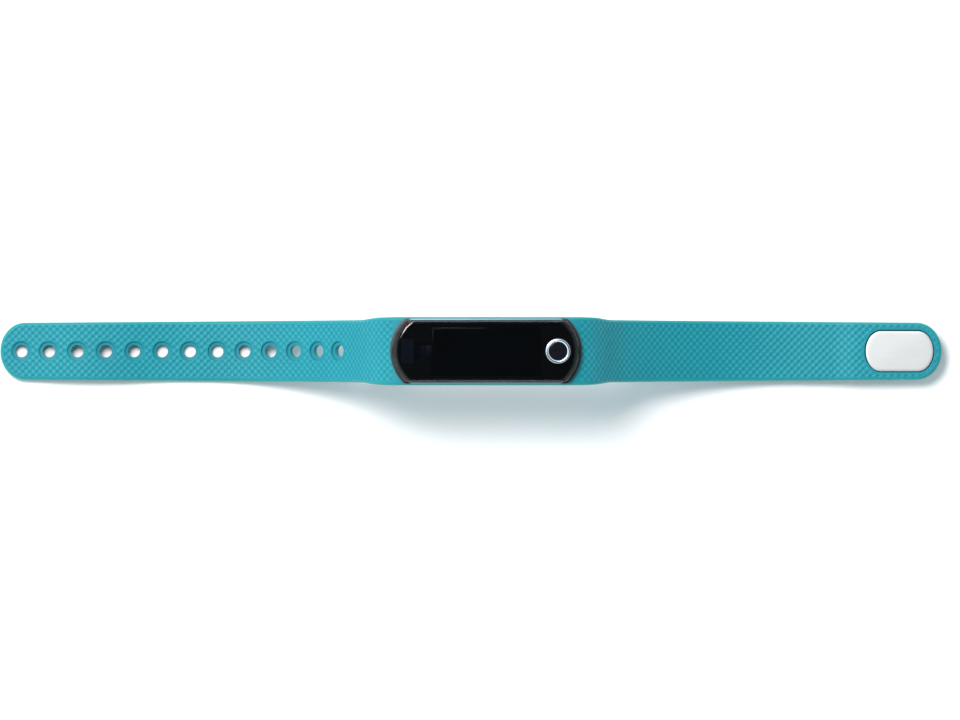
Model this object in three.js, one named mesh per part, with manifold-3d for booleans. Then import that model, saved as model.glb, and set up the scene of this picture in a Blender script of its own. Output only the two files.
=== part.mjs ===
// Fitness tracker band: a sealed tracker pod that lifts out of a one-piece silicone band,
// lying open on a flat surface with the pod arched above it. Millimetres, +Z up.
// +X runs along the band from the punched tail to the clasp tail, +Y across it.
// The origin is the middle of the band's footprint on the surface that it stands on.
import * as THREE from "three";
import { mergeVertices } from "three/addons/utils/BufferGeometryUtils.js";
import Module from "manifold-3d";

const wasm = await Module();
wasm.setup();

// ---- Driving dimensions ----
const DEG = Math.PI / 180;

// Home button
const RING_OUTER_RADIUS = 3.1;
const RING_WIDTH = 0.8;
const RING_INNER_RADIUS = RING_OUTER_RADIUS - RING_WIDTH;
const RING_PROUD = 0.15;
const BUTTON_GAP = 0.2; // round the button in the lens
const BUTTON_TRAVEL = 0.35;
const BUTTON_FLANGE_RADIUS = RING_OUTER_RADIUS + 0.45;
const SWITCH_SIZE = [3.4, 3.4, 0.6];
const DOME_RADIUS = 1.3;
const DOME_HEIGHT = 0.25;

// Pod, in plan: straight sides with a shallow arc at each end. It is made round its display.
const DISPLAY_LENGTH = 26.8;
const DISPLAY_WIDTH = 11.8;
const END_BAY = 2 * BUTTON_FLANGE_RADIUS + 3.2; // the pod's length beyond each end of the display
const SIDE_BAY = 2.2; // and its width beyond each side
const POD_HALF_LENGTH = DISPLAY_LENGTH / 2 + END_BAY;
const POD_HALF_WIDTH = DISPLAY_WIDTH / 2 + SIDE_BAY;
const POD_END_RADIUS = POD_HALF_WIDTH + 2.8;
const BODY_INSET = 1.0; // the lower body stands in from the flange above it
const CASE_WALL = 0.8;
const BUTTON_X = POD_HALF_LENGTH - BODY_INSET - CASE_WALL - BUTTON_FLANGE_RADIUS - 0.55;
const CAVITY_HALF_WIDTH = POD_HALF_WIDTH - BODY_INSET - CASE_WALL;
const FIT_GAP = 0.1; // between pieces that are assembled and stay put
const POCKET_GAP = 0.25; // between the pod's body and the band's pocket

// Pod, in height: 0 is the underside of the band's pocket
const POCKET_RAIL_HEIGHT = 4.5; // the band's thickness beside the pod
const COVER_BOTTOM = -2.0;
const COVER_TOP = -1.2;
const CASE_BOTTOM = -1.0;
const FLANGE_THICKNESS = 1.0;
const GASKET_THICKNESS = 0.2;
const LENS_THICKNESS = 2.2;
const LENS_EDGE_HEIGHT = 0.6; // the lens is upright this far, then rounds over
const FLANGE_BOTTOM = POCKET_RAIL_HEIGHT + FIT_GAP;
const FLANGE_TOP = FLANGE_BOTTOM + FLANGE_THICKNESS;
const LENS_BOTTOM = FLANGE_TOP + GASKET_THICKNESS;
const LENS_EDGE_TOP = LENS_BOTTOM + LENS_EDGE_HEIGHT;
const LENS_TOP = LENS_BOTTOM + LENS_THICKNESS;
const LENS_INSET = 0.56; // the lens edge stands in from the flange edge
const LENS_BEVEL_END = 1.9; // how far the lens rounds over at its ends
const LENS_BEVEL_SIDE = 0.5; // and along its sides

// Polished strips along the pod's two sides
const TRIM_TO_END = 4.5; // from a strip's end to the pod's
const TRIM_WIDTH = 0.5;
const TRIM_HEIGHT = 1.3;
const TRIM_TAPER = 0.8;
const TRIM_ABOVE_FLANGE = 0.6;

// Display, seen through the lens, and what carries it
const DISPLAY_THICKNESS = 1.2;
const DISPLAY_BORDER = 0.4; // the polariser stands in from the panel's edge
const POLARISER_THICKNESS = 0.14;
const CARRIER_PLATE = 0.6;
const CARRIER_PAD = 1.8; // the raised pads at both ends of the display
const CARRIER_PAD_TOP = FLANGE_TOP - 0.2;
const CARRIER_BOTTOM = CARRIER_PAD_TOP - CARRIER_PAD;
const CARRIER_SCREW_X = 5.2 - POD_HALF_LENGTH;
const CARRIER_SCREW_Y = CAVITY_HALF_WIDTH - 2.1;
const SCREW_HEAD_RADIUS = 0.75;
const SCREW_SHANK_RADIUS = 0.45;
const SCREW_HEAD_HEIGHT = 0.45;
const POST_RADIUS = 1.1; // the back cover's posts that take the screws
const RIBBON_THICKNESS = 0.14;
const RIBBON_WIDTH = 3.0;
const RIBBON_REACH = 3.1; // from the display's end to the middle of its connector

// Main board and the parts on it
const BOARD_THICKNESS = 0.6;
const BOARD_BOTTOM = CARRIER_BOTTOM - BOARD_THICKNESS - 0.8;
const CONNECTOR_SIZE = [2.0, 3.3, 0.5];
const CONNECTOR_X = -DISPLAY_LENGTH / 2 - RIBBON_REACH;
const PROCESSOR_SIZE = [4.5, 4.5, 0.8];
const MEMORY_SIZE = [2.6, 2.0, 0.7];
const CRYSTAL_SIZE = [1.6, 1.2, 0.5];
const MOTION_SIZE = [2.0, 2.0, 0.6];

// Charging contacts, vibration motor and heart-rate sensor, in order from the pod's clasp end
const CONTACT_X = POD_HALF_LENGTH - 5.1;
const CONTACT_SPACING = 4.4;
const CONTACT_RADIUS = 0.8;
const CONTACT_FLANGE = 0.35;
const MOTOR_RADIUS = 1.45;
const MOTOR_X = CONTACT_X - CONTACT_RADIUS - CONTACT_FLANGE - MOTOR_RADIUS - 1.8;
const MOTOR_AXIS_Z = COVER_TOP + MOTOR_RADIUS + 0.3;
const MOTOR_BACK_Y = 1.1 - CAVITY_HALF_WIDTH;
const SHAFT_RADIUS = 0.3;
const SHAFT_STICKS_OUT = 2.9;
const SHAFT_ROOM = 1.6; // between the shaft's end and the case
const MOTOR_LENGTH = CAVITY_HALF_WIDTH - SHAFT_ROOM - SHAFT_STICKS_OUT - MOTOR_BACK_Y;
const WEIGHT_LENGTH = 2.2;
const WEIGHT_RADIUS = 1.4;
const WINDOW_RADIUS = 3.5;
const WINDOW_FLANGE = 0.6;
const WINDOW_PROUD = 0.25;
const SENSOR_X = MOTOR_X - MOTOR_RADIUS - WINDOW_RADIUS - WINDOW_FLANGE - 0.05;
const SENSOR_BOARD_SIZE = [7.4, 9.0, 0.5];
const LED_SIZE = [1.0, 1.0, 0.35];
const PHOTODIODE_SIZE = [2.2, 2.2, 0.35];
const LED_SPACING = 4.4;

// Battery: it fills the room between the screw posts and the sensor board
const BATTERY_GAP = 1.0; // from the posts
const LEAD_ROOM = 1.3; // for its leads, beside the sensor board
const BATTERY_START = CARRIER_SCREW_X + POST_RADIUS + BATTERY_GAP;
const BATTERY_END = SENSOR_X - SENSOR_BOARD_SIZE[0] / 2 - LEAD_ROOM;
const BATTERY_WIDTH = 2 * CAVITY_HALF_WIDTH - 1.6;
const BATTERY_BOTTOM = COVER_TOP + FIT_GAP;
const BATTERY_TOP = BOARD_BOTTOM - 0.4;
const LEAD_RADIUS = 0.22;
const LEAD_SPACING = 2.4;

// Antenna: a film on the carrier's pad, between the screws
const ANTENNA_X = 4.25 - POD_HALF_LENGTH;
const ANTENNA_SIZE = [3.1, 2 * (CARRIER_SCREW_Y - SCREW_HEAD_RADIUS - 0.35), 0.12];

// Band, in section
const RAIL_SHOWS = 0.35; // how far the band stands out beside the pod
const BAND_HALF_WIDTH_AT_POD = POD_HALF_WIDTH + RAIL_SHOWS;
const ROOT_THICKNESS = 4.0; // where a tail leaves the pod
const TAIL_THICKNESS = 2.0;
const TAIL_THINS_OVER = 14.0;
const ROOT_HALF_WIDTH = 7.8;
const TIP_HALF_WIDTH = 7.05;
const TIP_LENGTH = 6.2; // each tail ends in half an ellipse this long
const BAND_EDGE_CHAMFER = 0.45;
const ROOT_FLARE_OVER = 8.0; // the tail widens to the pod's width over this length

// Band, seen from the side
const POD_FLAT = POD_HALF_LENGTH - 2.2; // from the pod's middle to where the band turns down
const TURN_RADIUS = 4.0;
const ROOT_SLOPE = 49 * DEG;
const PUNCHED_ROOT_RUN = 12.2; // straight run down from the pod
const PUNCHED_SWEEP_RADIUS = 49.1; // then the sweep that levels out on the surface
const PUNCHED_FLAT_RUN = 4.6;
const PUNCHED_RISE_RUN = 24; // the tail arches off the surface before its tip comes back to it
const PUNCHED_RISE = 9 * DEG;
const PUNCHED_FALL_RUN = 23;
const PUNCHED_FALL = 8 * DEG;
const CLASP_SWEEP_RADIUS = 64.0;
const CLASP_DIP = 3.5 * DEG;
const CLASP_RISE_RUN = 11.0;
const CLASP_FLAT_RUN = 20.0;

// Flexing links: the tails bend at evenly spaced hinges on their wrist side
const HINGE_GAP = 0.3;
const PUNCHED_LINKS = 7;
const CLASP_LINKS = 6;
const CLASP_FIRST_HINGE = 5.5;
const CLASP_HINGE_SPACING = 14.2;

// Adjustment holes
const HOLE_COUNT = 13;
const HOLE_PITCH = 7.0;
const HOLE_RADIUS = 1.52;
const HOLE_TO_TIP = 5.35;
const COUNTERBORE_RADIUS = 2.4;
const COUNTERBORE_DEPTH = 0.6;

// Clasp
const PLATE_LENGTH = 16.8;
const PLATE_WIDTH = 10.0;
const PLATE_CAP = 3.8; // length of each rounded end
const PLATE_THICKNESS = 0.9;
const PLATE_PROUD = 0.1;
const PLATE_GAP = 0.25;
const PLATE_TO_TIP = 2.1;
const CLASP_THICKNESS = 2.6;
const BACKING_LENGTH = 12.4;
const BACKING_WIDTH = 5.2;
const BACKING_THICKNESS = 0.5;
const PEG_SHOULDER_RADIUS = 1.9;
const PEG_SHOULDER = 0.4;
const PEG_NECK_RADIUS = 1.35;
const PEG_NECK = 1.6;
const PEG_HEAD_RADIUS = 1.95;
const PEG_HEAD = 0.9;
const PEG_SHANK_RADIUS = 0.9;
const PEG_LENGTH = PEG_SHOULDER + PEG_NECK + PEG_HEAD;

// Facets
const ARC_STEPS = 12;
const ROUND_STEPS = 20;

// ---- Materials ----
const finish = (color, roughness, metalness = 0) =>
  new THREE.MeshStandardMaterial({ color, roughness, metalness });
const SILICONE = finish("#2ba4b0", 0.55);
const BLACK_PLASTIC = finish("#15181b", 0.3);
const SMOKED_LENS = finish("#0b0d10", 0.06);
const BRIGHT_TRIM = finish("#a9c9dc", 0.22, 0.9);
const CHROME = finish("#d9e2ea", 0.08, 1);
const STEEL = finish("#e6e8e9", 0.25, 1);
const BLACK_RUBBER = finish("#101214", 0.8);
const BOARD = finish("#12301f", 0.5);
const CHIP = finish("#1b1c1e", 0.55);
const CAN = finish("#b9bdc1", 0.35, 1);
const GOLD = finish("#d8ab4c", 0.25, 1);
const POUCH = finish("#b9bcc0", 0.4, 0.6);
const RIBBON = finish("#8a5a1c", 0.45);
const PANEL = finish("#0d1014", 0.12);
const RED_WIRE = finish("#b3261e", 0.5);
const BLACK_WIRE = finish("#131313", 0.5);
const LED = finish("#d7efcf", 0.3);

// ---- Solids: joins and cuts ----
function solidOf(geometry) {
  const bare = geometry.clone();
  bare.deleteAttribute("normal");
  bare.deleteAttribute("uv");
  const merged = mergeVertices(bare, 1e-4);
  return new wasm.Manifold(
    new wasm.Mesh({
      numProp: 3,
      vertProperties: new Float32Array(merged.attributes.position.array),
      triVerts: new Uint32Array(merged.index.array),
    }),
  );
}

function geometryOf(solid) {
  const mesh = solid.getMesh();
  const geometry = new THREE.BufferGeometry();
  geometry.setAttribute("position", new THREE.BufferAttribute(mesh.vertProperties, 3));
  geometry.setIndex(new THREE.BufferAttribute(mesh.triVerts, 1));
  geometry.computeVertexNormals();
  return geometry;
}

const joined = (...geometries) =>
  geometryOf(geometries.map(solidOf).reduce((whole, next) => whole.add(next)));
const cut = (geometry, ...cutters) =>
  geometryOf(cutters.map(solidOf).reduce((rest, cutter) => rest.subtract(cutter), solidOf(geometry)));

function piece(name, geometry, material, position = [0, 0, 0]) {
  const mesh = new THREE.Mesh(geometry, material);
  mesh.name = name;
  mesh.position.set(...position);
  return mesh;
}

// ---- Basic shapes ----
// A closed skin through rings of the same number of points, capped at both ends.
function loft(rings) {
  const count = rings[0].length;
  const positions = rings.flat().flatMap((point) => [point.x, point.y, point.z]);
  const faces = [];
  for (let ring = 0; ring + 1 < rings.length; ring++) {
    for (let i = 0; i < count; i++) {
      const a = ring * count + i;
      const b = ring * count + ((i + 1) % count);
      faces.push(a, b, b + count, a, b + count, a + count);
    }
  }
  const last = (rings.length - 1) * count;
  for (let i = 1; i + 1 < count; i++) {
    faces.push(0, i + 1, i);
    faces.push(last, last + i, last + i + 1);
  }
  const geometry = new THREE.BufferGeometry();
  geometry.setAttribute("position", new THREE.Float32BufferAttribute(positions, 3));
  geometry.setIndex(faces);
  return geometry;
}

const atHeight = (outline, z) => outline.map((point) => new THREE.Vector3(point.x, point.y, z));
const prism = (outline, low, high) => loft([atHeight(outline, low), atHeight(outline, high)]);

// Straight sides at the half width, closed by an arc at each end, anticlockwise.
function podOutline(inset, halfWidth = POD_HALF_WIDTH - inset) {
  const radius = POD_END_RADIUS - inset;
  const centre = POD_HALF_LENGTH - POD_END_RADIUS;
  const reach = Math.asin(halfWidth / radius);
  const points = [];
  for (const turn of [0, Math.PI]) {
    for (let i = 0; i <= ARC_STEPS; i++) {
      const angle = turn - reach + (2 * reach * i) / ARC_STEPS;
      const side = turn ? -1 : 1;
      points.push(new THREE.Vector2(side * centre + radius * Math.cos(angle), radius * Math.sin(angle)));
    }
  }
  return points;
}

// A bar with half-elliptical ends, anticlockwise.
function capsuleOutline(length, width, cap) {
  const straight = length / 2 - cap;
  const points = [];
  for (const turn of [0, Math.PI]) {
    for (let i = 0; i <= ARC_STEPS; i++) {
      const angle = turn - Math.PI / 2 + (Math.PI * i) / ARC_STEPS;
      const side = turn ? -1 : 1;
      points.push(new THREE.Vector2(side * straight + cap * Math.cos(angle), (width / 2) * Math.sin(angle)));
    }
  }
  return points;
}

const box = ([x, y, z]) => new THREE.BoxGeometry(x, y, z);

// A box standing on a height.
const block = ([x, y, z], [atX, atY, bottom]) => box([x, y, z]).translate(atX, atY, bottom + z / 2);

// A solid turned about Z from [radius, height] points that run up from the axis and back to it.
function turned(profile, steps = ROUND_STEPS) {
  const points = profile.map(([radius, height]) => new THREE.Vector2(radius, height));
  return new THREE.LatheGeometry(points, steps).rotateX(Math.PI / 2);
}

const disc = (radius, low, high, steps = ROUND_STEPS) =>
  turned([[0, low], [radius, low], [radius, high], [0, high]], steps);

// A flat ribbon of constant thickness along points in the XZ plane, centred on Y.
function ribbonAlong(route, width, thickness) {
  const points = route.map(([x, z]) => new THREE.Vector2(x, z));
  const offset = (side) =>
    points.map((point, i) => {
      const before = points[Math.max(i - 1, 0)];
      const after = points[Math.min(i + 1, points.length - 1)];
      const along = after.clone().sub(before).normalize();
      const out = (side * thickness) / 2;
      return new THREE.Vector2(point.x - along.y * out, point.y + along.x * out);
    });
  const outline = [...offset(1), ...offset(-1).reverse()];
  const shape = new THREE.Shape(outline);
  return new THREE.ExtrudeGeometry(shape, { depth: width, bevelEnabled: false })
    .translate(0, 0, -width / 2)
    .rotateX(Math.PI / 2);
}

// A round wire through points.
function wire(points, radius) {
  const path = new THREE.CatmullRomCurve3(points.map((point) => new THREE.Vector3(...point)));
  const section = new THREE.Shape();
  section.absarc(0, 0, radius, 0, 2 * Math.PI);
  return new THREE.ExtrudeGeometry(section, { extrudePath: path, steps: 6, curveSegments: 4 });
}

// ---- The band's line, seen from the side ----
// Runs of [length, slope at its start, slope at its end], from the pod's middle outwards.
// The line is the wrist side of the band; slopes are positive downwards.
const arcRun = (radius, from, to) => [radius * Math.abs(to - from), from, to];

const turnDown = arcRun(TURN_RADIUS, 0, ROOT_SLOPE);
const ROOT_AT = POD_FLAT + turnDown[0]; // where the tails start

const punchedRuns = [
  [POD_FLAT, 0, 0],
  turnDown,
  [PUNCHED_ROOT_RUN, ROOT_SLOPE, ROOT_SLOPE],
  arcRun(PUNCHED_SWEEP_RADIUS, ROOT_SLOPE, 0),
  [PUNCHED_FLAT_RUN, 0, 0],
  [PUNCHED_RISE_RUN / 2, 0, -PUNCHED_RISE],
  [PUNCHED_RISE_RUN / 2, -PUNCHED_RISE, 0],
  [PUNCHED_FALL_RUN / 2, 0, PUNCHED_FALL],
  [PUNCHED_FALL_RUN / 2, PUNCHED_FALL, 0],
];

// The point and slope at a distance along the runs.
function pointOn(runs, distance) {
  let left = distance;
  const here = { x: 0, z: 0, slope: 0 };
  for (const [length, from, to] of runs) {
    const travelled = Math.min(left, length);
    const slope = from + ((to - from) * travelled) / length;
    if (Math.abs(to - from) < 1e-9) {
      here.x += travelled * Math.cos(from);
      here.z -= travelled * Math.sin(from);
    } else {
      const radius = length / (to - from);
      here.x += radius * (Math.sin(slope) - Math.sin(from));
      here.z += radius * (Math.cos(slope) - Math.cos(from));
    }
    here.slope = slope;
    left -= travelled;
    if (left <= 0) break;
  }
  return here;
}
const totalLength = (runs) => runs.reduce((sum, [length]) => sum + length, 0);

// The pod stands this far above the surface that the punched tail lies on.
const POD_HEIGHT = -pointOn(punchedRuns, totalLength(punchedRuns.slice(0, 5))).z;

// The clasp tail's straight run is what puts the pegs' heads on the same surface.
const claspSweepDrop = CLASP_SWEEP_RADIUS * (1 - Math.cos(ROOT_SLOPE));
const turnDrop = TURN_RADIUS * (1 - Math.cos(ROOT_SLOPE));
const claspRise = 2 * CLASP_SWEEP_RADIUS * (1 - Math.cos(CLASP_DIP)) + CLASP_RISE_RUN * Math.sin(CLASP_DIP);
const claspRootDrop = POD_HEIGHT - PEG_LENGTH + claspRise - turnDrop - claspSweepDrop;
const claspRuns = [
  [POD_FLAT, 0, 0],
  turnDown,
  [claspRootDrop / Math.sin(ROOT_SLOPE), ROOT_SLOPE, ROOT_SLOPE],
  arcRun(CLASP_SWEEP_RADIUS, ROOT_SLOPE, -CLASP_DIP),
  [CLASP_RISE_RUN, -CLASP_DIP, -CLASP_DIP],
  arcRun(CLASP_SWEEP_RADIUS, -CLASP_DIP, 0),
  [CLASP_FLAT_RUN, 0, 0],
];

// ---- The band's section along its line ----
const mix = (a, b, share) => a + (b - a) * Math.min(Math.max(share, 0), 1);
const smooth = (share) => share * share * (3 - 2 * share);

function thicknessAt(distance) {
  if (distance < ROOT_AT) {
    return mix(POCKET_RAIL_HEIGHT, ROOT_THICKNESS, (distance - POD_FLAT) / turnDown[0]);
  }
  return mix(ROOT_THICKNESS, TAIL_THICKNESS, (distance - ROOT_AT) / TAIL_THINS_OVER);
}

// The clasp end is thicker, to hold the plate.
function claspThicknessAt(distance) {
  const plateEnd = totalLength(claspRuns) - PLATE_TO_TIP - PLATE_LENGTH - 2;
  const thickening = mix(0, CLASP_THICKNESS - TAIL_THICKNESS, (distance - plateEnd + 6) / 6);
  return thicknessAt(distance) + thickening;
}

function halfWidthAt(runs, distance) {
  const end = totalLength(runs);
  const taper = mix(ROOT_HALF_WIDTH, TIP_HALF_WIDTH, (distance - ROOT_AT) / (end - ROOT_AT));
  const flare = smooth(mix(0, 1, (ROOT_AT + ROOT_FLARE_OVER - distance) / (ROOT_AT + ROOT_FLARE_OVER - POD_FLAT)));
  const side = mix(taper, BAND_HALF_WIDTH_AT_POD, flare);
  const intoTip = (distance - (end - TIP_LENGTH)) / TIP_LENGTH;
  return intoTip > 0 ? side * Math.sqrt(Math.max(1 - intoTip * intoTip, 0)) : side;
}

// One ring of the band's section: a flat slab with its four long edges chamfered.
function bandRing(runs, thickness, distance, from) {
  const here = pointOn(runs, distance);
  const slope = here.slope - from.slope;
  const dx = here.x - from.x;
  const dz = here.z - from.z;
  const x = dx * Math.cos(from.slope) - dz * Math.sin(from.slope);
  const z = dx * Math.sin(from.slope) + dz * Math.cos(from.slope);
  const t = thickness(distance);
  const w = halfWidthAt(runs, distance);
  const c = Math.min(BAND_EDGE_CHAMFER, w / 2);
  const section = [
    [w - c, 0], [w, c], [w, t - c], [w - c, t], [-w + c, t], [-w, t - c], [-w, c], [-w + c, 0],
  ];
  return section.map(
    ([y, up]) => new THREE.Vector3(x + up * Math.sin(slope), y, z + up * Math.cos(slope)),
  );
}

// Distances between two ends, close enough together to follow the curve, and closer at the tip.
function stations(runs, start, end, step) {
  const tipStart = totalLength(runs) - TIP_LENGTH;
  const bodyEnd = Math.min(end, tipStart);
  const steps = Math.max(1, Math.ceil((bodyEnd - start) / step));
  const list = [];
  for (let i = 0; i <= steps; i++) list.push(start + ((bodyEnd - start) * i) / steps);
  if (end > tipStart) {
    const tipSteps = 6;
    for (let i = 1; i <= tipSteps; i++) {
      list.push(tipStart + TIP_LENGTH * Math.sin((84 * DEG * i) / tipSteps));
    }
    list.push(end);
  }
  return list;
}

// ---- Band pieces ----
// A stretch of a tail in the frame of its hinge: X along the band, Z out from the wrist side.
function tailStretch(runs, thickness, start, end, from) {
  const rings = stations(runs, start, end, 3.6).map((distance) => bandRing(runs, thickness, distance, from));
  return loft(rings);
}

// A stepped hole through the band, square to it, at a distance along its line.
function holeCutter(runs, thickness, distance, from) {
  const here = pointOn(runs, distance);
  const t = thickness(distance);
  const dx = here.x - from.x;
  const dz = here.z - from.z;
  return turned([
    [0, -1], [HOLE_RADIUS, -1], [HOLE_RADIUS, t - COUNTERBORE_DEPTH],
    [COUNTERBORE_RADIUS, t - COUNTERBORE_DEPTH], [COUNTERBORE_RADIUS, t + 1], [0, t + 1],
  ])
    .rotateY(here.slope - from.slope)
    .translate(
      dx * Math.cos(from.slope) - dz * Math.sin(from.slope),
      0,
      dx * Math.sin(from.slope) + dz * Math.cos(from.slope),
    );
}

// Links hang in a chain: each link's group sits at its hinge, inside the group of the link before.
function tail(names, runs, thickness, hinges, finishLink) {
  const end = totalLength(runs);
  const chain = new THREE.Group();
  let parent = chain;
  let before = { x: 0, z: 0, slope: 0 };
  hinges.forEach((hinge, i) => {
    const here = pointOn(runs, hinge);
    const dx = here.x - before.x;
    const dz = here.z - before.z;
    const link = new THREE.Group();
    link.position.set(
      dx * Math.cos(before.slope) - dz * Math.sin(before.slope),
      0,
      dx * Math.sin(before.slope) + dz * Math.cos(before.slope),
    );
    link.rotation.y = here.slope - before.slope;
    const linkEnd = i + 1 < hinges.length ? hinges[i + 1] - HINGE_GAP / 2 : end;
    const geometry = tailStretch(runs, thickness, hinge + HINGE_GAP / 2, linkEnd, here);
    link.add(...finishLink(`${names}_${i + 1}`, geometry, hinge, linkEnd, here));
    parent.add(link);
    parent = link;
    before = here;
  });
  return chain;
}

const punchedEnd = totalLength(punchedRuns);
const holeAt = (i) => punchedEnd - HOLE_TO_TIP - HOLE_PITCH * i; // counted from the tip
const holePositions = Array.from({ length: HOLE_COUNT }, (_, i) => holeAt(i));
// Every second gap between holes is a hinge, so that each link carries two holes.
const punchedHinges = Array.from({ length: PUNCHED_LINKS }, (_, i) => holeAt(2 * (PUNCHED_LINKS - i) - 0.5));

function punchedTail() {
  return tail("punched_tail_link", punchedRuns, thicknessAt, punchedHinges, (name, geometry, start, end, from) => {
    const holes = holePositions.filter((at) => at > start && at < end);
    const cutters = holes.map((at) => holeCutter(punchedRuns, thicknessAt, at, from));
    return [piece(name, cutters.length ? cut(geometry, ...cutters) : geometry, SILICONE)];
  });
}

const claspEnd = totalLength(claspRuns);
const claspHinges = Array.from(
  { length: CLASP_LINKS }, (_, i) => ROOT_AT + CLASP_FIRST_HINGE + CLASP_HINGE_SPACING * i,
);

function claspTail() {
  return tail("clasp_tail_link", claspRuns, claspThicknessAt, claspHinges, (name, geometry, start, end, from) => {
    if (end < claspEnd) return [piece(name, geometry, SILICONE)];
    return claspEndPieces(name, geometry, claspEnd - PLATE_TO_TIP - PLATE_LENGTH / 2 - start);
  });
}

// The last link with its cover plate outside, its backing strip inside and the two pegs.
function claspEndPieces(name, geometry, middle) {
  const t = CLASP_THICKNESS;
  const plateBottom = t + PLATE_PROUD - PLATE_THICKNESS;
  const recess = prism(
    capsuleOutline(PLATE_LENGTH + 2 * PLATE_GAP, PLATE_WIDTH + 2 * PLATE_GAP, PLATE_CAP + PLATE_GAP),
    plateBottom - FIT_GAP,
    t + 1,
  ).translate(middle, 0, 0);
  const backingRecess = prism(
    capsuleOutline(BACKING_LENGTH + 2 * FIT_GAP, BACKING_WIDTH + 2 * FIT_GAP, BACKING_WIDTH / 2 + FIT_GAP),
    -1,
    BACKING_THICKNESS + FIT_GAP,
  ).translate(middle, 0, 0);
  const pegPlaces = [middle - HOLE_PITCH / 2, middle + HOLE_PITCH / 2];
  const shankHoles = pegPlaces.map((x) => disc(PEG_SHANK_RADIUS + FIT_GAP, -1, t).translate(x, 0, 0));

  const plate = loft([
    atHeight(capsuleOutline(PLATE_LENGTH, PLATE_WIDTH, PLATE_CAP), plateBottom),
    atHeight(capsuleOutline(PLATE_LENGTH, PLATE_WIDTH, PLATE_CAP), t + PLATE_PROUD - 0.25),
    atHeight(capsuleOutline(PLATE_LENGTH - 0.5, PLATE_WIDTH - 0.5, PLATE_CAP - 0.25), t + PLATE_PROUD),
  ]);
  const backing = prism(capsuleOutline(BACKING_LENGTH, BACKING_WIDTH, BACKING_WIDTH / 2), 0, BACKING_THICKNESS);
  const backingHoles = pegPlaces.map((x) => disc(PEG_SHANK_RADIUS + FIT_GAP, -1, t).translate(x - middle, 0, 0));
  return [
    piece(name, cut(geometry, recess, backingRecess, ...shankHoles), SILICONE),
    piece("clasp_plate", plate, STEEL, [middle, 0, 0]),
    piece("clasp_backing_strip", cut(backing, ...backingHoles), STEEL, [middle, 0, 0]),
    ...pegPlaces.map((x, i) => piece(`clasp_peg_${i + 1}`, peg(plateBottom - FIT_GAP / 2), STEEL, [x, 0, 0])),
  ];
}

// A turned peg: mushroom head down, shoulder against the backing strip, shank up to the plate.
function peg(shankTop) {
  const neckTop = -PEG_SHOULDER;
  const headTop = neckTop - PEG_NECK;
  return turned([
    [0, -PEG_LENGTH],
    [PEG_HEAD_RADIUS * 0.6, -PEG_LENGTH],
    [PEG_HEAD_RADIUS, headTop - PEG_HEAD * 0.5],
    [PEG_HEAD_RADIUS, headTop - PEG_HEAD * 0.25],
    [PEG_NECK_RADIUS, headTop],
    [PEG_NECK_RADIUS, neckTop],
    [PEG_SHOULDER_RADIUS, neckTop],
    [PEG_SHOULDER_RADIUS, -0.02],
    [PEG_SHANK_RADIUS, -0.02],
    [PEG_SHANK_RADIUS, shankTop],
    [0, shankTop],
  ]);
}

// The middle of the band: a frame round the pod that runs out into the root of each tail.
function cradle() {
  const origin = { x: 0, z: 0, slope: 0 };
  const ringsOf = (runs, thickness, firstHinge) => {
    const flat = [POD_FLAT / 2, POD_FLAT];
    const turn = [0.2, 0.4, 0.6, 0.8, 1].map((share) => POD_FLAT + turnDown[0] * share);
    const rest = stations(runs, ROOT_AT, firstHinge - HINGE_GAP / 2, 3).slice(1);
    return [...flat, ...turn, ...rest].map((distance) => bandRing(runs, thickness, distance, origin));
  };
  const claspSide = ringsOf(claspRuns, claspThicknessAt, claspHinges[0]);
  const middle = bandRing(claspRuns, claspThicknessAt, 0, origin);
  const punchedSide = ringsOf(punchedRuns, thicknessAt, punchedHinges[0]).map((ring) =>
    ring.map((point) => new THREE.Vector3(-point.x, point.y, point.z)),
  );
  const pocket = prism(podOutline(BODY_INSET - POCKET_GAP), -10, 10);
  return piece("cradle", cut(loft([...punchedSide.reverse(), middle, ...claspSide]), pocket), SILICONE);
}

// ---- Pod: shells and covers ----
const cavityOutline = podOutline(BODY_INSET + CASE_WALL);
const boardOutline = podOutline(BODY_INSET + CASE_WALL + FIT_GAP);
const trimInner = POD_HALF_WIDTH - TRIM_WIDTH;
const trimBottom = FLANGE_TOP + TRIM_ABOVE_FLANGE - TRIM_HEIGHT;

function trimOutline(clearance) {
  const half = POD_HALF_LENGTH - TRIM_TO_END + clearance;
  return [
    new THREE.Vector2(-half, trimInner - clearance),
    new THREE.Vector2(half, trimInner - clearance),
    new THREE.Vector2(half - TRIM_TAPER, POD_HALF_WIDTH + 2 * clearance),
    new THREE.Vector2(-half + TRIM_TAPER, POD_HALF_WIDTH + 2 * clearance),
  ];
}

function podCase() {
  const body = prism(podOutline(BODY_INSET), CASE_BOTTOM, FLANGE_BOTTOM + 0.2);
  const flange = prism(podOutline(0), FLANGE_BOTTOM, FLANGE_TOP);
  const cavity = prism(cavityOutline, CASE_BOTTOM - 1, FLANGE_TOP + 1);
  const notch = prism(trimOutline(FIT_GAP / 2), trimBottom - FIT_GAP / 2, FLANGE_TOP + 1);
  const otherNotch = notch.clone().rotateZ(Math.PI);
  return piece("case", cut(joined(body, flange), cavity, notch, otherNotch), BLACK_PLASTIC);
}

function sideTrims() {
  const strip = () => prism(trimOutline(0), trimBottom, trimBottom + TRIM_HEIGHT);
  return [
    piece("side_trim_1", strip(), BRIGHT_TRIM),
    piece("side_trim_2", strip().rotateZ(Math.PI), BRIGHT_TRIM),
  ];
}

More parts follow.
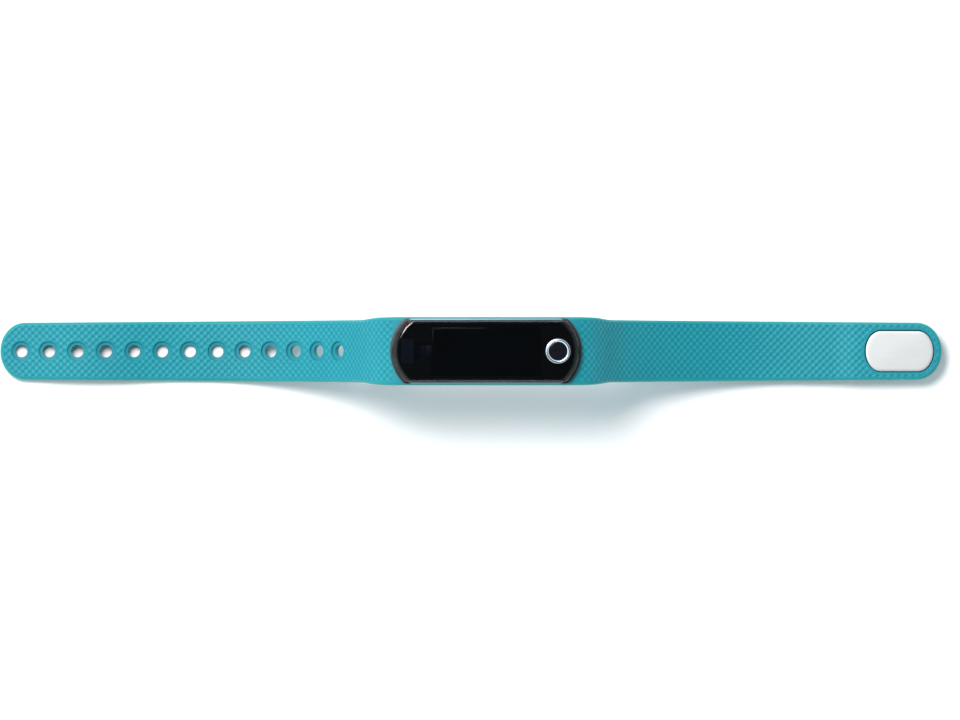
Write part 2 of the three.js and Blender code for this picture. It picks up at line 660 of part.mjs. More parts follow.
function coverLens() {
  const edgeWidth = POD_HALF_WIDTH - LENS_INSET;
  const ring = (share, z) => {
    const over = 1 - Math.cos((Math.PI / 2) * share);
    return atHeight(podOutline(LENS_INSET + LENS_BEVEL_END * over, edgeWidth - LENS_BEVEL_SIDE * over), z);
  };
  const rise = LENS_TOP - LENS_EDGE_TOP;
  const bevel = [0, 1 / 3, 2 / 3, 1].map((share) => {
    return ring(share, LENS_EDGE_TOP + rise * Math.sin((Math.PI / 2) * share));
  });
  const shell = loft([ring(0, LENS_BOTTOM), ...bevel]);
  const buttonHole = turned([
    [0, LENS_BOTTOM - 1],
    [RING_OUTER_RADIUS + BUTTON_GAP, LENS_BOTTOM - 1],
    [RING_OUTER_RADIUS + BUTTON_GAP, LENS_TOP - 0.3],
    [RING_OUTER_RADIUS + 2 * BUTTON_GAP, LENS_TOP],
    [RING_OUTER_RADIUS + 2 * BUTTON_GAP, LENS_TOP + 1],
    [0, LENS_TOP + 1],
  ], 32).translate(BUTTON_X, 0, 0);
  return piece("cover_lens", cut(shell, buttonHole), SMOKED_LENS);
}

function lensGasket() {
  const outer = prism(podOutline(LENS_INSET + FIT_GAP), FLANGE_TOP, LENS_BOTTOM);
  const window = prism(podOutline(BODY_INSET + CASE_WALL / 2), FLANGE_TOP - 1, LENS_BOTTOM + 1);
  return piece("lens_gasket", cut(outer, window), BLACK_RUBBER);
}

const contactPlaces = [-CONTACT_SPACING / 2, CONTACT_SPACING / 2];
const screwPlaces = [-CARRIER_SCREW_Y, CARRIER_SCREW_Y];
const postTop = BOARD_BOTTOM - FIT_GAP;

function backCover() {
  const plate = loft([
    atHeight(podOutline(BODY_INSET + 0.6), COVER_BOTTOM),
    atHeight(podOutline(BODY_INSET), COVER_BOTTOM + 0.5),
    atHeight(podOutline(BODY_INSET), COVER_TOP),
  ]);
  const posts = screwPlaces.map((y) => {
    return disc(POST_RADIUS, COVER_TOP - 0.2, postTop, 12).translate(CARRIER_SCREW_X, y, 0);
  });
  const pilots = screwPlaces.map((y) =>
    disc(SCREW_SHANK_RADIUS + FIT_GAP, COVER_TOP, postTop + 1, 10).translate(CARRIER_SCREW_X, y, 0));
  const window = disc(WINDOW_RADIUS + FIT_GAP, COVER_BOTTOM - 1, COVER_TOP + 1, 24).translate(SENSOR_X, 0, 0);
  const contacts = contactPlaces.map((y) =>
    disc(CONTACT_RADIUS + FIT_GAP, COVER_BOTTOM - 1, COVER_TOP + 1, 12).translate(CONTACT_X, y, 0));
  return piece("back_cover", cut(joined(plate, ...posts), ...pilots, window, ...contacts), BLACK_PLASTIC);
}

function caseSeal() {
  const outer = prism(podOutline(BODY_INSET + 0.15), COVER_TOP, CASE_BOTTOM);
  const inner = prism(podOutline(BODY_INSET + CASE_WALL - 0.05), COVER_TOP - 1, CASE_BOTTOM + 1);
  return piece("case_seal", cut(outer, inner), BLACK_RUBBER);
}

// ---- Pod: display ----
const displayBottom = CARRIER_BOTTOM + CARRIER_PLATE + FIT_GAP;
const displayTop = displayBottom + DISPLAY_THICKNESS;
const boardTop = BOARD_BOTTOM + BOARD_THICKNESS;

function displayCarrier() {
  const plate = prism(boardOutline, CARRIER_BOTTOM, CARRIER_PAD_TOP);
  const tray = block(
    [DISPLAY_LENGTH + 4 * FIT_GAP, 4 * POD_HALF_WIDTH, CARRIER_PAD_TOP],
    [0, 0, CARRIER_BOTTOM + CARRIER_PLATE],
  );
  const ribbonWindow = block([4.2, RIBBON_WIDTH + 1.2, 6], [-DISPLAY_LENGTH / 2 - 2.2, 0, CARRIER_BOTTOM - 1]);
  const buttonWell = disc(BUTTON_FLANGE_RADIUS + FIT_GAP, CARRIER_BOTTOM + CARRIER_PLATE, LENS_TOP, 28)
    .translate(BUTTON_X, 0, 0);
  const stemHole = disc(2.5, CARRIER_BOTTOM - 1, LENS_TOP).translate(BUTTON_X, 0, 0);
  const screwHoles = screwPlaces.flatMap((y) => [
    disc(SCREW_SHANK_RADIUS + FIT_GAP, CARRIER_BOTTOM - 1, LENS_TOP, 10).translate(CARRIER_SCREW_X, y, 0),
    disc(SCREW_HEAD_RADIUS + FIT_GAP, CARRIER_PAD_TOP - SCREW_HEAD_HEIGHT - FIT_GAP, LENS_TOP, 14)
      .translate(CARRIER_SCREW_X, y, 0),
  ]);
  return piece("display_carrier", cut(plate, tray, ribbonWindow, buttonWell, stemHole, ...screwHoles), BLACK_PLASTIC);
}

function carrierScrews() {
  const headTop = CARRIER_PAD_TOP - FIT_GAP / 2;
  const headBottom = headTop - SCREW_HEAD_HEIGHT;
  const tip = BOARD_BOTTOM - 1.8;
  const slotDepth = 0.2;
  return screwPlaces.map((y, i) => {
    const blank = turned([
      [0, tip], [SCREW_SHANK_RADIUS * 0.6, tip], [SCREW_SHANK_RADIUS, tip + 0.3], [SCREW_SHANK_RADIUS, headBottom],
      [SCREW_HEAD_RADIUS, headBottom], [SCREW_HEAD_RADIUS, headTop], [0, headTop],
    ], 12);
    const slots = [0, Math.PI / 2].map((angle) =>
      block([1.1, 0.2, 1], [0, 0, headTop - slotDepth]).rotateZ(angle));
    return piece(`carrier_screw_${i + 1}`, cut(blank, ...slots), CAN, [CARRIER_SCREW_X, y, 0]);
  });
}

function display() {
  const ribbonStart = -DISPLAY_LENGTH / 2 - FIT_GAP;
  const ribbonEnd = CONNECTOR_X + CONNECTOR_SIZE[0] / 2 - 0.4;
  const ribbonTop = displayBottom + 0.3;
  const ribbonLow = boardTop + CONNECTOR_SIZE[2] + FIT_GAP;
  const route = [
    [ribbonStart, ribbonTop],
    [ribbonStart - 0.9, ribbonTop],
    [ribbonStart - 1.5, ribbonTop - 0.35],
    [ribbonStart - 1.8, ribbonLow + 0.25],
    [ribbonStart - 2.2, ribbonLow],
    [ribbonEnd, ribbonLow],
  ];
  return [
    piece("display_panel", block([DISPLAY_LENGTH, DISPLAY_WIDTH, DISPLAY_THICKNESS], [0, 0, displayBottom]), PANEL),
    piece(
      "display_polariser",
      block(
        [DISPLAY_LENGTH - 2 * DISPLAY_BORDER, DISPLAY_WIDTH - 2 * DISPLAY_BORDER, POLARISER_THICKNESS],
        [0, 0, displayTop + 0.02],
      ),
      PANEL,
    ),
    piece("display_ribbon", ribbonAlong(route, RIBBON_WIDTH, RIBBON_THICKNESS), RIBBON),
  ];
}

// ---- Pod: electronics ----
function mainBoard() {
  const screwHoles = screwPlaces.map((y) =>
    disc(SCREW_SHANK_RADIUS + FIT_GAP, BOARD_BOTTOM - 1, boardTop + 1, 12).translate(CARRIER_SCREW_X, y, 0));
  const board = cut(prism(boardOutline, BOARD_BOTTOM, boardTop), ...screwHoles);
  const onTop = (name, size, x, y, material) => piece(name, block(size, [x, y, boardTop]), material);
  const below = (name, size, x, y, material) => piece(name, block(size, [x, y, BOARD_BOTTOM - size[2]]), material);
  return [
    piece("main_board", board, BOARD),
    onTop("display_connector", CONNECTOR_SIZE, CONNECTOR_X, 0, CHIP),
    onTop("motion_sensor_chip", MOTION_SIZE, SENSOR_X + 0.4, 3.2, CHIP),
    onTop("radio_crystal", CRYSTAL_SIZE, SENSOR_X - 2.6, -3.4, CAN),
    below("processor_chip", PROCESSOR_SIZE, SENSOR_X - 1.2, 2.2, CHIP),
    below("memory_chip", MEMORY_SIZE, SENSOR_X - 1.6, -3.2, CHIP),
    piece("antenna", block(ANTENNA_SIZE, [ANTENNA_X, 0, CARRIER_PAD_TOP + 0.02]), RIBBON),
  ];
}

function battery() {
  const length = BATTERY_END - BATTERY_START;
  const edge = 0.8;
  const shoulder = 0.6;
  const pouchAt = (inset, z) =>
    atHeight(capsuleOutline(length - 2 * inset, BATTERY_WIDTH - 2 * inset, edge), z);
  const pouch = loft([
    pouchAt(edge / 2, BATTERY_BOTTOM), pouchAt(0, BATTERY_BOTTOM + shoulder),
    pouchAt(0, BATTERY_TOP - shoulder), pouchAt(edge / 2, BATTERY_TOP),
  ]);
  const leadStart = BATTERY_END + FIT_GAP;
  const leadLow = BATTERY_TOP - 1.3;
  const leadRun = 0.9;
  const lead = (name, y, material) =>
    piece(
      name,
      wire([
        [leadStart, y, leadLow],
        [leadStart + leadRun / 2, y, leadLow],
        [leadStart + leadRun, y, leadLow + leadRun / 2],
        [leadStart + leadRun, y, BOARD_BOTTOM - FIT_GAP],
      ], LEAD_RADIUS),
      material,
    );
  return [
    piece("battery", pouch, POUCH, [(BATTERY_START + BATTERY_END) / 2, 0, 0]),
    lead("battery_lead_plus", LEAD_SPACING / 2, RED_WIRE),
    lead("battery_lead_minus", -LEAD_SPACING / 2, BLACK_WIRE),
  ];
}

// The motor lies along Y: its can stays put, its shaft and weight spin.
function vibrationMotor() {
  const along = (geometry) => geometry.rotateX(-Math.PI / 2);
  const bore = SHAFT_RADIUS + FIT_GAP;
  const can = along(cut(
    turned([
      [0, 0], [MOTOR_RADIUS - 0.2, 0], [MOTOR_RADIUS, 0.2], [MOTOR_RADIUS, MOTOR_LENGTH - 0.2],
      [MOTOR_RADIUS - 0.2, MOTOR_LENGTH], [0, MOTOR_LENGTH],
    ]),
    disc(bore, MOTOR_LENGTH - 2, MOTOR_LENGTH + 1, 12),
  ));
  const shaftLow = MOTOR_LENGTH - 1.6;
  const shaftHigh = MOTOR_LENGTH + SHAFT_STICKS_OUT;
  const shaft = along(disc(SHAFT_RADIUS, shaftLow, shaftHigh, 12));
  const weightLow = MOTOR_LENGTH + 0.5;
  const weight = along(cut(
    disc(WEIGHT_RADIUS, weightLow, weightLow + WEIGHT_LENGTH),
    block(
      [2 * WEIGHT_RADIUS + 1, WEIGHT_RADIUS + 1, WEIGHT_LENGTH + 2],
      [0, -(WEIGHT_RADIUS + 1) / 2 - 0.65, weightLow - 1],
    ),
    disc(SHAFT_RADIUS + 0.02, weightLow - 1, weightLow + WEIGHT_LENGTH + 1, 12),
  ));
  const place = [MOTOR_X, MOTOR_BACK_Y, MOTOR_AXIS_Z];
  return [
    piece("vibration_motor", can, CAN, place),
    piece("motor_shaft", shaft, STEEL, place),
    piece("vibration_weight", weight, STEEL, place),
  ];
}

function heartSensor() {
  const boardBottom = COVER_TOP + 0.55;
  const lampTop = boardBottom;
  const lamp = (name, size, y, material) => piece(name, block(size, [SENSOR_X, y, lampTop - size[2]]), material);
  const flangeRadius = WINDOW_RADIUS + WINDOW_FLANGE;
  const window = turned([
    [0, COVER_BOTTOM - WINDOW_PROUD],
    [WINDOW_RADIUS - 0.7, COVER_BOTTOM - WINDOW_PROUD],
    [WINDOW_RADIUS, COVER_BOTTOM],
    [WINDOW_RADIUS, COVER_TOP + 0.02],
    [flangeRadius, COVER_TOP + 0.02],
    [flangeRadius, COVER_TOP + 0.15],
    [0, COVER_TOP + 0.15],
  ], 24);
  const ribbonX = SENSOR_X + SENSOR_BOARD_SIZE[0] / 2;
  const ribbonLow = boardBottom + SENSOR_BOARD_SIZE[2] + FIT_GAP;
  const ribbonHigh = BOARD_BOTTOM - FIT_GAP;
  const route = [
    [ribbonX - 1.6, ribbonLow],
    [ribbonX - 0.5, ribbonLow],
    [ribbonX - 0.15, ribbonLow + 0.35],
    [ribbonX - 0.15, ribbonHigh - 0.35],
    [ribbonX - 0.5, ribbonHigh],
    [ribbonX - 1.2, ribbonHigh],
  ];
  return [
    piece("sensor_window", window, SMOKED_LENS, [SENSOR_X, 0, 0]),
    piece("sensor_board", block(SENSOR_BOARD_SIZE, [SENSOR_X, 0, boardBottom]), BOARD),
    lamp("sensor_led_1", LED_SIZE, LED_SPACING / 2, LED),
    lamp("sensor_led_2", LED_SIZE, -LED_SPACING / 2, LED),
    lamp("sensor_photodiode", PHOTODIODE_SIZE, 0, CHIP),
    piece("sensor_ribbon", ribbonAlong(route, 1.6, RIBBON_THICKNESS), RIBBON),
  ];
}

function chargingContacts() {
  const pin = () =>
    turned([
      [0, COVER_BOTTOM - 0.05], [CONTACT_RADIUS, COVER_BOTTOM - 0.05], [CONTACT_RADIUS, COVER_TOP + 0.05],
      [CONTACT_RADIUS + CONTACT_FLANGE, COVER_TOP + 0.05],
      [CONTACT_RADIUS + CONTACT_FLANGE, COVER_TOP + 0.35],
      [CONTACT_RADIUS / 2, COVER_TOP + 0.35], [CONTACT_RADIUS / 2, BOARD_BOTTOM - FIT_GAP],
      [0, BOARD_BOTTOM - FIT_GAP],
    ], 14);
  return contactPlaces.map((y, i) => piece(`charging_contact_${i + 1}`, pin(), GOLD, [CONTACT_X, y, 0]));
}

// ---- Pod: home button ----
function homeButton() {
  const ringTop = LENS_TOP + RING_PROUD;
  const seat = LENS_TOP - 1.4; // the ring stands on this step of the cap
  const switchTop = boardTop + SWITCH_SIZE[2];
  const stemBottom = switchTop + DOME_HEIGHT + BUTTON_TRAVEL + 0.05;
  const flangeTop = LENS_BOTTOM - 0.3;
  const cap = turned([
    [0, stemBottom], [1.0, stemBottom], [1.0, flangeTop - 0.5],
    [BUTTON_FLANGE_RADIUS, flangeTop - 0.5], [BUTTON_FLANGE_RADIUS, flangeTop],
    [RING_OUTER_RADIUS - 0.05, flangeTop], [RING_OUTER_RADIUS - 0.05, seat],
    [RING_INNER_RADIUS - 0.08, seat], [RING_INNER_RADIUS - 0.08, LENS_TOP - 0.1], [0, LENS_TOP - 0.1],
  ], 32);
  const ring = turned([
    [RING_INNER_RADIUS, seat + 0.02], [RING_OUTER_RADIUS, seat + 0.02], [RING_OUTER_RADIUS, ringTop - 0.2],
    [RING_OUTER_RADIUS - 0.2, ringTop], [RING_INNER_RADIUS + 0.25, ringTop], [RING_INNER_RADIUS, ringTop - 0.25],
    [RING_INNER_RADIUS, seat + 0.02],
  ], 40);
  const seal = turned([
    [RING_OUTER_RADIUS + 0.05, flangeTop + 0.02], [BUTTON_FLANGE_RADIUS, flangeTop + 0.02],
    [BUTTON_FLANGE_RADIUS, LENS_BOTTOM - 0.02], [RING_OUTER_RADIUS + 0.05, LENS_BOTTOM - 0.02],
    [RING_OUTER_RADIUS + 0.05, flangeTop + 0.02],
  ], 32);
  const dome = turned([
    [0, switchTop + 0.02], [DOME_RADIUS, switchTop + 0.02], [DOME_RADIUS * 0.75, switchTop + DOME_HEIGHT * 0.7],
    [DOME_RADIUS * 0.35, switchTop + DOME_HEIGHT], [0, switchTop + DOME_HEIGHT],
  ], 16);
  return [
    piece("button_cap", cap, BLACK_PLASTIC, [BUTTON_X, 0, 0]),
    piece("button_ring", ring, CHROME, [BUTTON_X, 0, 0]),
    piece("button_seal", seal, BLACK_RUBBER, [BUTTON_X, 0, 0]),
    piece("button_switch", block(SWITCH_SIZE, [BUTTON_X, 0, boardTop]), CHIP),
    piece("switch_dome", dome, CAN, [BUTTON_X, 0, 0]),
  ];
}

// ---- Assembly ----
const pod = new THREE.Group();
pod.add(
  podCase(), backCover(), coverLens(), lensGasket(), caseSeal(), ...sideTrims(),
  displayCarrier(), ...carrierScrews(), ...display(),
  ...mainBoard(), ...battery(), ...vibrationMotor(), ...heartSensor(), ...chargingContacts(),
  ...homeButton(),
);

const punchedSide = punchedTail();
punchedSide.rotation.z = Math.PI; // the tails are both drawn towards +X

const band = new THREE.Group();
band.add(cradle(), punchedSide, claspTail());

const footprintMiddle = (pointOn(claspRuns, claspEnd).x - pointOn(punchedRuns, punchedEnd).x) / 2;
const tracker = new THREE.Group();
tracker.add(pod, band);
tracker.position.set(-footprintMiddle, 0, POD_HEIGHT);

export default tracker;
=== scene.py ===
"""The looks of a fitness tracker band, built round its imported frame."""

from math import atan2, ceil, cos, pi, radians, sin, sqrt, tan

import bmesh
import bpy
import numpy as np
from mathutils import Matrix, Vector


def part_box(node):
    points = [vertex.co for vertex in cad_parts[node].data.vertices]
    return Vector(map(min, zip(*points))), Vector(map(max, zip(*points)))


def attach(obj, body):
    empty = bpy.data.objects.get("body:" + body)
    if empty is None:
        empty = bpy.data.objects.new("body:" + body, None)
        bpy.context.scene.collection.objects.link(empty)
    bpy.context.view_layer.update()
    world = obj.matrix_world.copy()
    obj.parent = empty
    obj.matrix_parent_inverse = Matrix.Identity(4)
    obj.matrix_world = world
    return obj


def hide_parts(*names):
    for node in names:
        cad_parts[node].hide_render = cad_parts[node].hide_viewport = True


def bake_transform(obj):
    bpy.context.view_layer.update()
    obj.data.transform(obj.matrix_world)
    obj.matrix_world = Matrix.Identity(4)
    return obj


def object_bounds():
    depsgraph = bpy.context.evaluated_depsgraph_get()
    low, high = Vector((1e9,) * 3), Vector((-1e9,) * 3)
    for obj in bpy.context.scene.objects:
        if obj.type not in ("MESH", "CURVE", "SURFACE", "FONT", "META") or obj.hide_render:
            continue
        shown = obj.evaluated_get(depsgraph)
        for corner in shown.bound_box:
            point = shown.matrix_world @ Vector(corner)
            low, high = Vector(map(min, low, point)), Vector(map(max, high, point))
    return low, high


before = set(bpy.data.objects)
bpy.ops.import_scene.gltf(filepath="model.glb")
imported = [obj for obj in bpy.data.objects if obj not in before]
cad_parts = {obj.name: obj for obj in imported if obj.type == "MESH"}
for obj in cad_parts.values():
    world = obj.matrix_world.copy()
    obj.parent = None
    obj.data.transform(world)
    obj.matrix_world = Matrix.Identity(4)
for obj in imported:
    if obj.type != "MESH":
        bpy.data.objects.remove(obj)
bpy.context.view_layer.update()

# ---- Sizes, in millimetres from the pod's middle and the underside of the band's pocket ----
MM = 0.001
RAIL_HEIGHT = 4.5  # the band beside the pod
CASE_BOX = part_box("case")
POD_AT = Vector(((CASE_BOX[0][0] + CASE_BOX[1][0]) / 2, 0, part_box("cradle")[1][2] - RAIL_HEIGHT * MM))
TO_WORLD = Matrix.Translation(POD_AT) @ Matrix.Scale(MM, 4)


class Span:
    """Where a frame node is, in millimetres about the pod."""

    def __init__(self, node):
        low, high = (((Vector(corner) - POD_AT) / MM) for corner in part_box(node))
        self.low = low
        self.high = high
        self.middle = (low + high) / 2
        self.size = high - low


CASE = Span("case")
LENS = Span("cover_lens")
RING = Span("button_ring")
TRIM = Span("side_trim_1")
COVER = Span("back_cover")
WINDOW = Span("sensor_window")
PANEL = Span("display_panel")
BOARD = Span("main_board")
CELL = Span("battery")
PLATE = Span("clasp_plate")

# Pod
POD_HALF_LENGTH = CASE.size.x / 2
POD_HALF_WIDTH = CASE.size.y / 2
POD_END_RADIUS = POD_HALF_WIDTH + 2.8
POD_CORNER = 1.1  # where the sides meet the end arcs
BODY_INSET = 1.0
CASE_WALL = 0.8
POCKET_GAP = 0.25
FLANGE_BOTTOM = RAIL_HEIGHT + 0.1
FLANGE_TOP = CASE.high.z
LENS_INSET = POD_HALF_LENGTH - LENS.size.x / 2
LENS_EDGE_HEIGHT = 0.6
LENS_BEVEL_END = 1.9
LENS_BEVEL_SIDE = 0.5
BUTTON_GAP = 0.2
RING_WALL = 0.8
COVER_THICKNESS = 0.8
SCREW_HOLE_RADIUS = 0.55
WINDOW_RADIUS = 3.5
WINDOW_FLANGE_RADIUS = 4.1
WINDOW_HOLE_RADIUS = 3.6
CONTACT_RADIUS = 0.8
CONTACT_HOLE_RADIUS = 0.9

# Band, in plan and in section
BAND_HALF_WIDTH_AT_POD = Span("cradle").size.y / 2
ROOT_HALF_WIDTH = 7.8
TIP_HALF_WIDTH = 7.05
TIP_LENGTH = 6.2
ROOT_FLARE_OVER = 8.0
ROOT_THICKNESS = 4.0
TAIL_THICKNESS = 2.0
TAIL_THINS_OVER = 14.0
CLASP_THICKNESS = 2.6
CLASP_THICKENS_OVER = 6.0
TOP_EDGE_RADIUS = 0.75
WRIST_EDGE_RADIUS = 0.45

# Band, seen from the side
POD_FLAT = POD_HALF_LENGTH - 2.2
TURN_RADIUS = 4.0
ROOT_SLOPE = radians(49)
CLASP_DIP = radians(3.5)
PUNCHED_RISE = radians(9)
PUNCHED_FALL = radians(8)
CLASP_SWEEP = 64.0
CLASP_RISE_RUN = 11.0
PEG_LENGTH = 2.9
SURFACE = -POD_AT.z / MM  # what the band lies on

# Holes, plate and hinges
HOLE_COUNT = 13
HOLE_PITCH = 7.0
HOLE_RADIUS = 1.52
HOLE_TO_TIP = 5.35
COUNTERBORE_RADIUS = 2.4
COUNTERBORE_DEPTH = 0.6
PLATE_TO_TIP = 2.1
PLATE_CAP = 3.8
PLATE_GAP = 0.25
PLATE_THICKNESS = 0.9
PLATE_PROUD = 0.1  # of the band's top
PUNCHED_LINKS = 7
CLASP_LINKS = 6
CLASP_FIRST_HINGE = 5.5
CLASP_HINGE_SPACING = 14.2

# The pattern moulded into the band: crossing waves, a whole number of them between hinges
WAVES_PER_LINK = 8
STEPS_PER_WAVE = 8
RELIEF_HEIGHT = 0.13
PATTERN_FROM = 22.2  # from the pod's middle
PLAIN_RIM = 0.5
PLAIN_ROUND_HOLE = 0.1
PLAIN_ROUND_PLATE = 0.55
PATTERN_FADE = 0.45
SHORT_FADE = 0.4  # beside the pod and the plate


# ---- Node trees ----
class Wire:
    """A socket in a node tree. Arithmetic on it adds Math nodes to the same tree."""

    def __init__(self, tree, socket=None):
        self.tree = tree
        self.socket = socket

    def node(self, kind, settings=None, inputs=None, output=0):
        """Adds a node: its settings come first, then the values or links of its inputs."""
        node = self.tree.nodes.new(kind)
        for name, value in (settings or {}).items():
            if name == "stops":
                set_stops(node.color_ramp, value)
            else:
                setattr(node, name, value)
        for name, value in (inputs or {}).items():
            if isinstance(value, Wire):
                self.tree.links.new(value.socket, node.inputs[name])
            else:
                node.inputs[name].default_value = value
        return Wire(self.tree, node.outputs[output] if node.outputs else None)

    def math(self, operation, *values):
        return self.node("ShaderNodeMath", {"operation": operation}, dict(enumerate(values)))

    def __add__(self, other):
        return self.math("ADD", self, other)

    def __radd__(self, other):
        return self.math("ADD", other, self)

    def __sub__(self, other):
        return self.math("SUBTRACT", self, other)

    def __rsub__(self, other):
        return self.math("SUBTRACT", other, self)

    def __mul__(self, other):
        return self.math("MULTIPLY", self, other)

    def __rmul__(self, other):
        return self.math("MULTIPLY", other, self)


def set_stops(ramp, stops):
    while len(ramp.elements) < len(stops):
        ramp.elements.new(1.0)
    for element, (position, color) in zip(ramp.elements, stops):
        element.position = position
        element.color = color


def colour(red, green, blue):
    return (red, green, blue, 1.0)


def mixed(mask, low, high):
    """Between two colours by a mask."""
    settings = {"data_type": "RGBA", "clamp_factor": True}
    return mask.node("ShaderNodeMix", settings, {0: mask, 6: low, 7: high}, 2)


def noise(place, scale, detail=3.0, roughness=0.5):
    inputs = {"Vector": place, "Scale": scale, "Detail": detail, "Roughness": roughness}
    return place.node("ShaderNodeTexNoise", None, inputs, "Fac")


def stretched(place, x, y, z):
    return place.node("ShaderNodeMapping", None, {"Vector": place, "Scale": (x, y, z)})


def axis_of(place, axis):
    return place.node("ShaderNodeSeparateXYZ", None, {0: place}, axis)


def lines(place, axis, pitch):
    """A wave along one axis that repeats every pitch metres."""
    return place.math("SINE", axis_of(place, axis) * (2 * pi / pitch))


def raised(height, depth, strength=1.0):
    """A bump of a real depth in metres from a height between 0 and 1."""
    return height.node("ShaderNodeBump", None, {"Height": height, "Distance": depth, "Strength": strength})


def finish_of(name, build):
    """A material whose build function gives its shader's inputs."""
    material = bpy.data.materials.new(name)
    material.use_nodes = True
    material.node_tree.nodes.clear()
    wire = Wire(material.node_tree)
    place = wire.node("ShaderNodeTexCoord", None, None, "Object")
    shader = wire.node("ShaderNodeBsdfPrincipled", None, build(place))
    wire.node("ShaderNodeOutputMaterial", None, {"Surface": shader})
    return material


# ---- Finishes ----
def silicone(place):
    """Soft moulded rubber: matt, a little cloudy, with painted shade in the pits of its pattern and painted
    highlight on its crests and along its rounded edges.
    """
    relief = place.node("ShaderNodeAttribute", {"attribute_name": "relief"}, None, "Fac")
    rim = place.node("ShaderNodeAttribute", {"attribute_name": "rim"}, None, "Fac")
    cloud = noise(place, 90, 3)
    grain = noise(place, 5200, 4, 0.6)
    # painted shade and highlight: the pattern's relief makes the colour darker in its pits and paler on its
    # crests; cloud and grain are the rubber's own mottling
    height = relief * 0.62 + 0.5 + (cloud - 0.5) * 0.4 + (grain - 0.5) * 0.25
    pattern = mixed(height * height, colour(0.002, 0.183, 0.240), colour(0.014, 0.312, 0.352))
    # painted highlight: a paler, greener tint along the band's rounded edges, where they catch the light
    base = mixed(rim * 0.8, pattern, colour(0.012, 0.285, 0.262))
    return {
        "Base Color": base,
        "Roughness": 0.42 + grain * 0.2,
        "Specular IOR Level": 0.28,
        "Normal": raised(grain, 0.000012, 0.6),
    }


def black_plastic(place):
    """Moulded black plastic with a fine spark texture."""
    spark = noise(place, 7000, 2, 0.7)
    wear = noise(place, 140, 4)
    base = mixed(wear, colour(0.008, 0.009, 0.011), colour(0.02, 0.022, 0.026))
    return {"Base Color": base, "Roughness": 0.24 + spark * 0.2, "Normal": raised(spark, 0.000006, 0.4)}


def smoked_lens(place):
    """Dark glossy see-through plastic with the faintest smears."""
    smear = noise(place, 110, 3)
    base = mixed(smear, colour(0.0012, 0.0017, 0.0021), colour(0.002, 0.0028, 0.0034))
    return {"Base Color": base, "Roughness": 0.02 + smear * 0.015, "Alpha": 0.62 + smear * 0.02}


def board_mask(place):
    """Solder mask over copper traces that run in steps between vias."""
    cells = place.node(
        "ShaderNodeTexVoronoi", {"distance": "CHEBYCHEV", "feature": "F1"},
        {"Vector": stretched(place, 1, 1, 0.02), "Scale": 900.0, "Randomness": 0.75}, "Distance",
    )
    steps = place.node("ShaderNodeMath", {"operation": "PINGPONG"}, {0: cells, 1: 0.12})
    trace = steps.math("SMOOTH_MIN", steps * 9.0, 1.0, 0.2)
    grain = noise(place, 2500, 3)
    base = mixed(trace, colour(0.01, 0.085, 0.045), colour(0.022, 0.17, 0.09))
    return {"Base Color": base, "Roughness": 0.30 + grain * 0.2, "Coat Weight": 0.3,
            "Normal": raised(trace, 0.00002, 0.5)}


def dark_film(place):
    """Antenna film: dark bluish coating over faint printed lines."""
    line = lines(place, "Y", 0.0008) * 0.5 + 0.5
    haze = noise(place, 1500, 3)
    base = mixed(line * 0.6 + haze * 0.4, colour(0.03, 0.085, 0.17), colour(0.07, 0.17, 0.31))
    return {"Base Color": base, "Roughness": 0.25 + haze * 0.2}


def amber_flex(place):
    """Flexible circuit: amber film over parallel copper traces."""
    wave = lines(place, "Y", 0.0005) * 0.5 + 0.5
    grain = noise(place, 3000, 2)
    base = mixed(wave, colour(0.20, 0.075, 0.012), colour(0.46, 0.20, 0.04))
    return {"Base Color": base, "Roughness": 0.28 + grain * 0.2, "Normal": raised(wave, 0.00001, 0.6)}


def display_glass(place):
    """An unlit display: a fine grid of dots under glass, with a bluish cast."""
    dot_pitch = 0.00022
    along = lines(place, "X", dot_pitch)
    across = lines(place, "Y", dot_pitch)
    grid = (along * 0.25 + 0.5) * (across * 0.25 + 0.75)
    base = mixed(grid, colour(0.002, 0.003, 0.005), colour(0.009, 0.013, 0.019))
    return {"Base Color": base, "Roughness": 0.08 + grid * 0.08}


def grained(dark, light, roughness, scale, detail=3, rough=0.5, stretch=None, metallic=0.0, bump=None):
    """A finish with one grain in its colour, its roughness and, if it has a bump, its surface."""

    def build(place):
        where = stretched(place, *stretch) if stretch else place
        grain = noise(where, scale, detail, rough)
        least, more = roughness
        inputs = {
            "Base Color": mixed(grain, colour(*dark), colour(*light)),
            "Metallic": metallic,
            "Roughness": least + grain * more,
        }
        if bump:
            inputs["Normal"] = raised(grain, *bump)
        return inputs

    return build


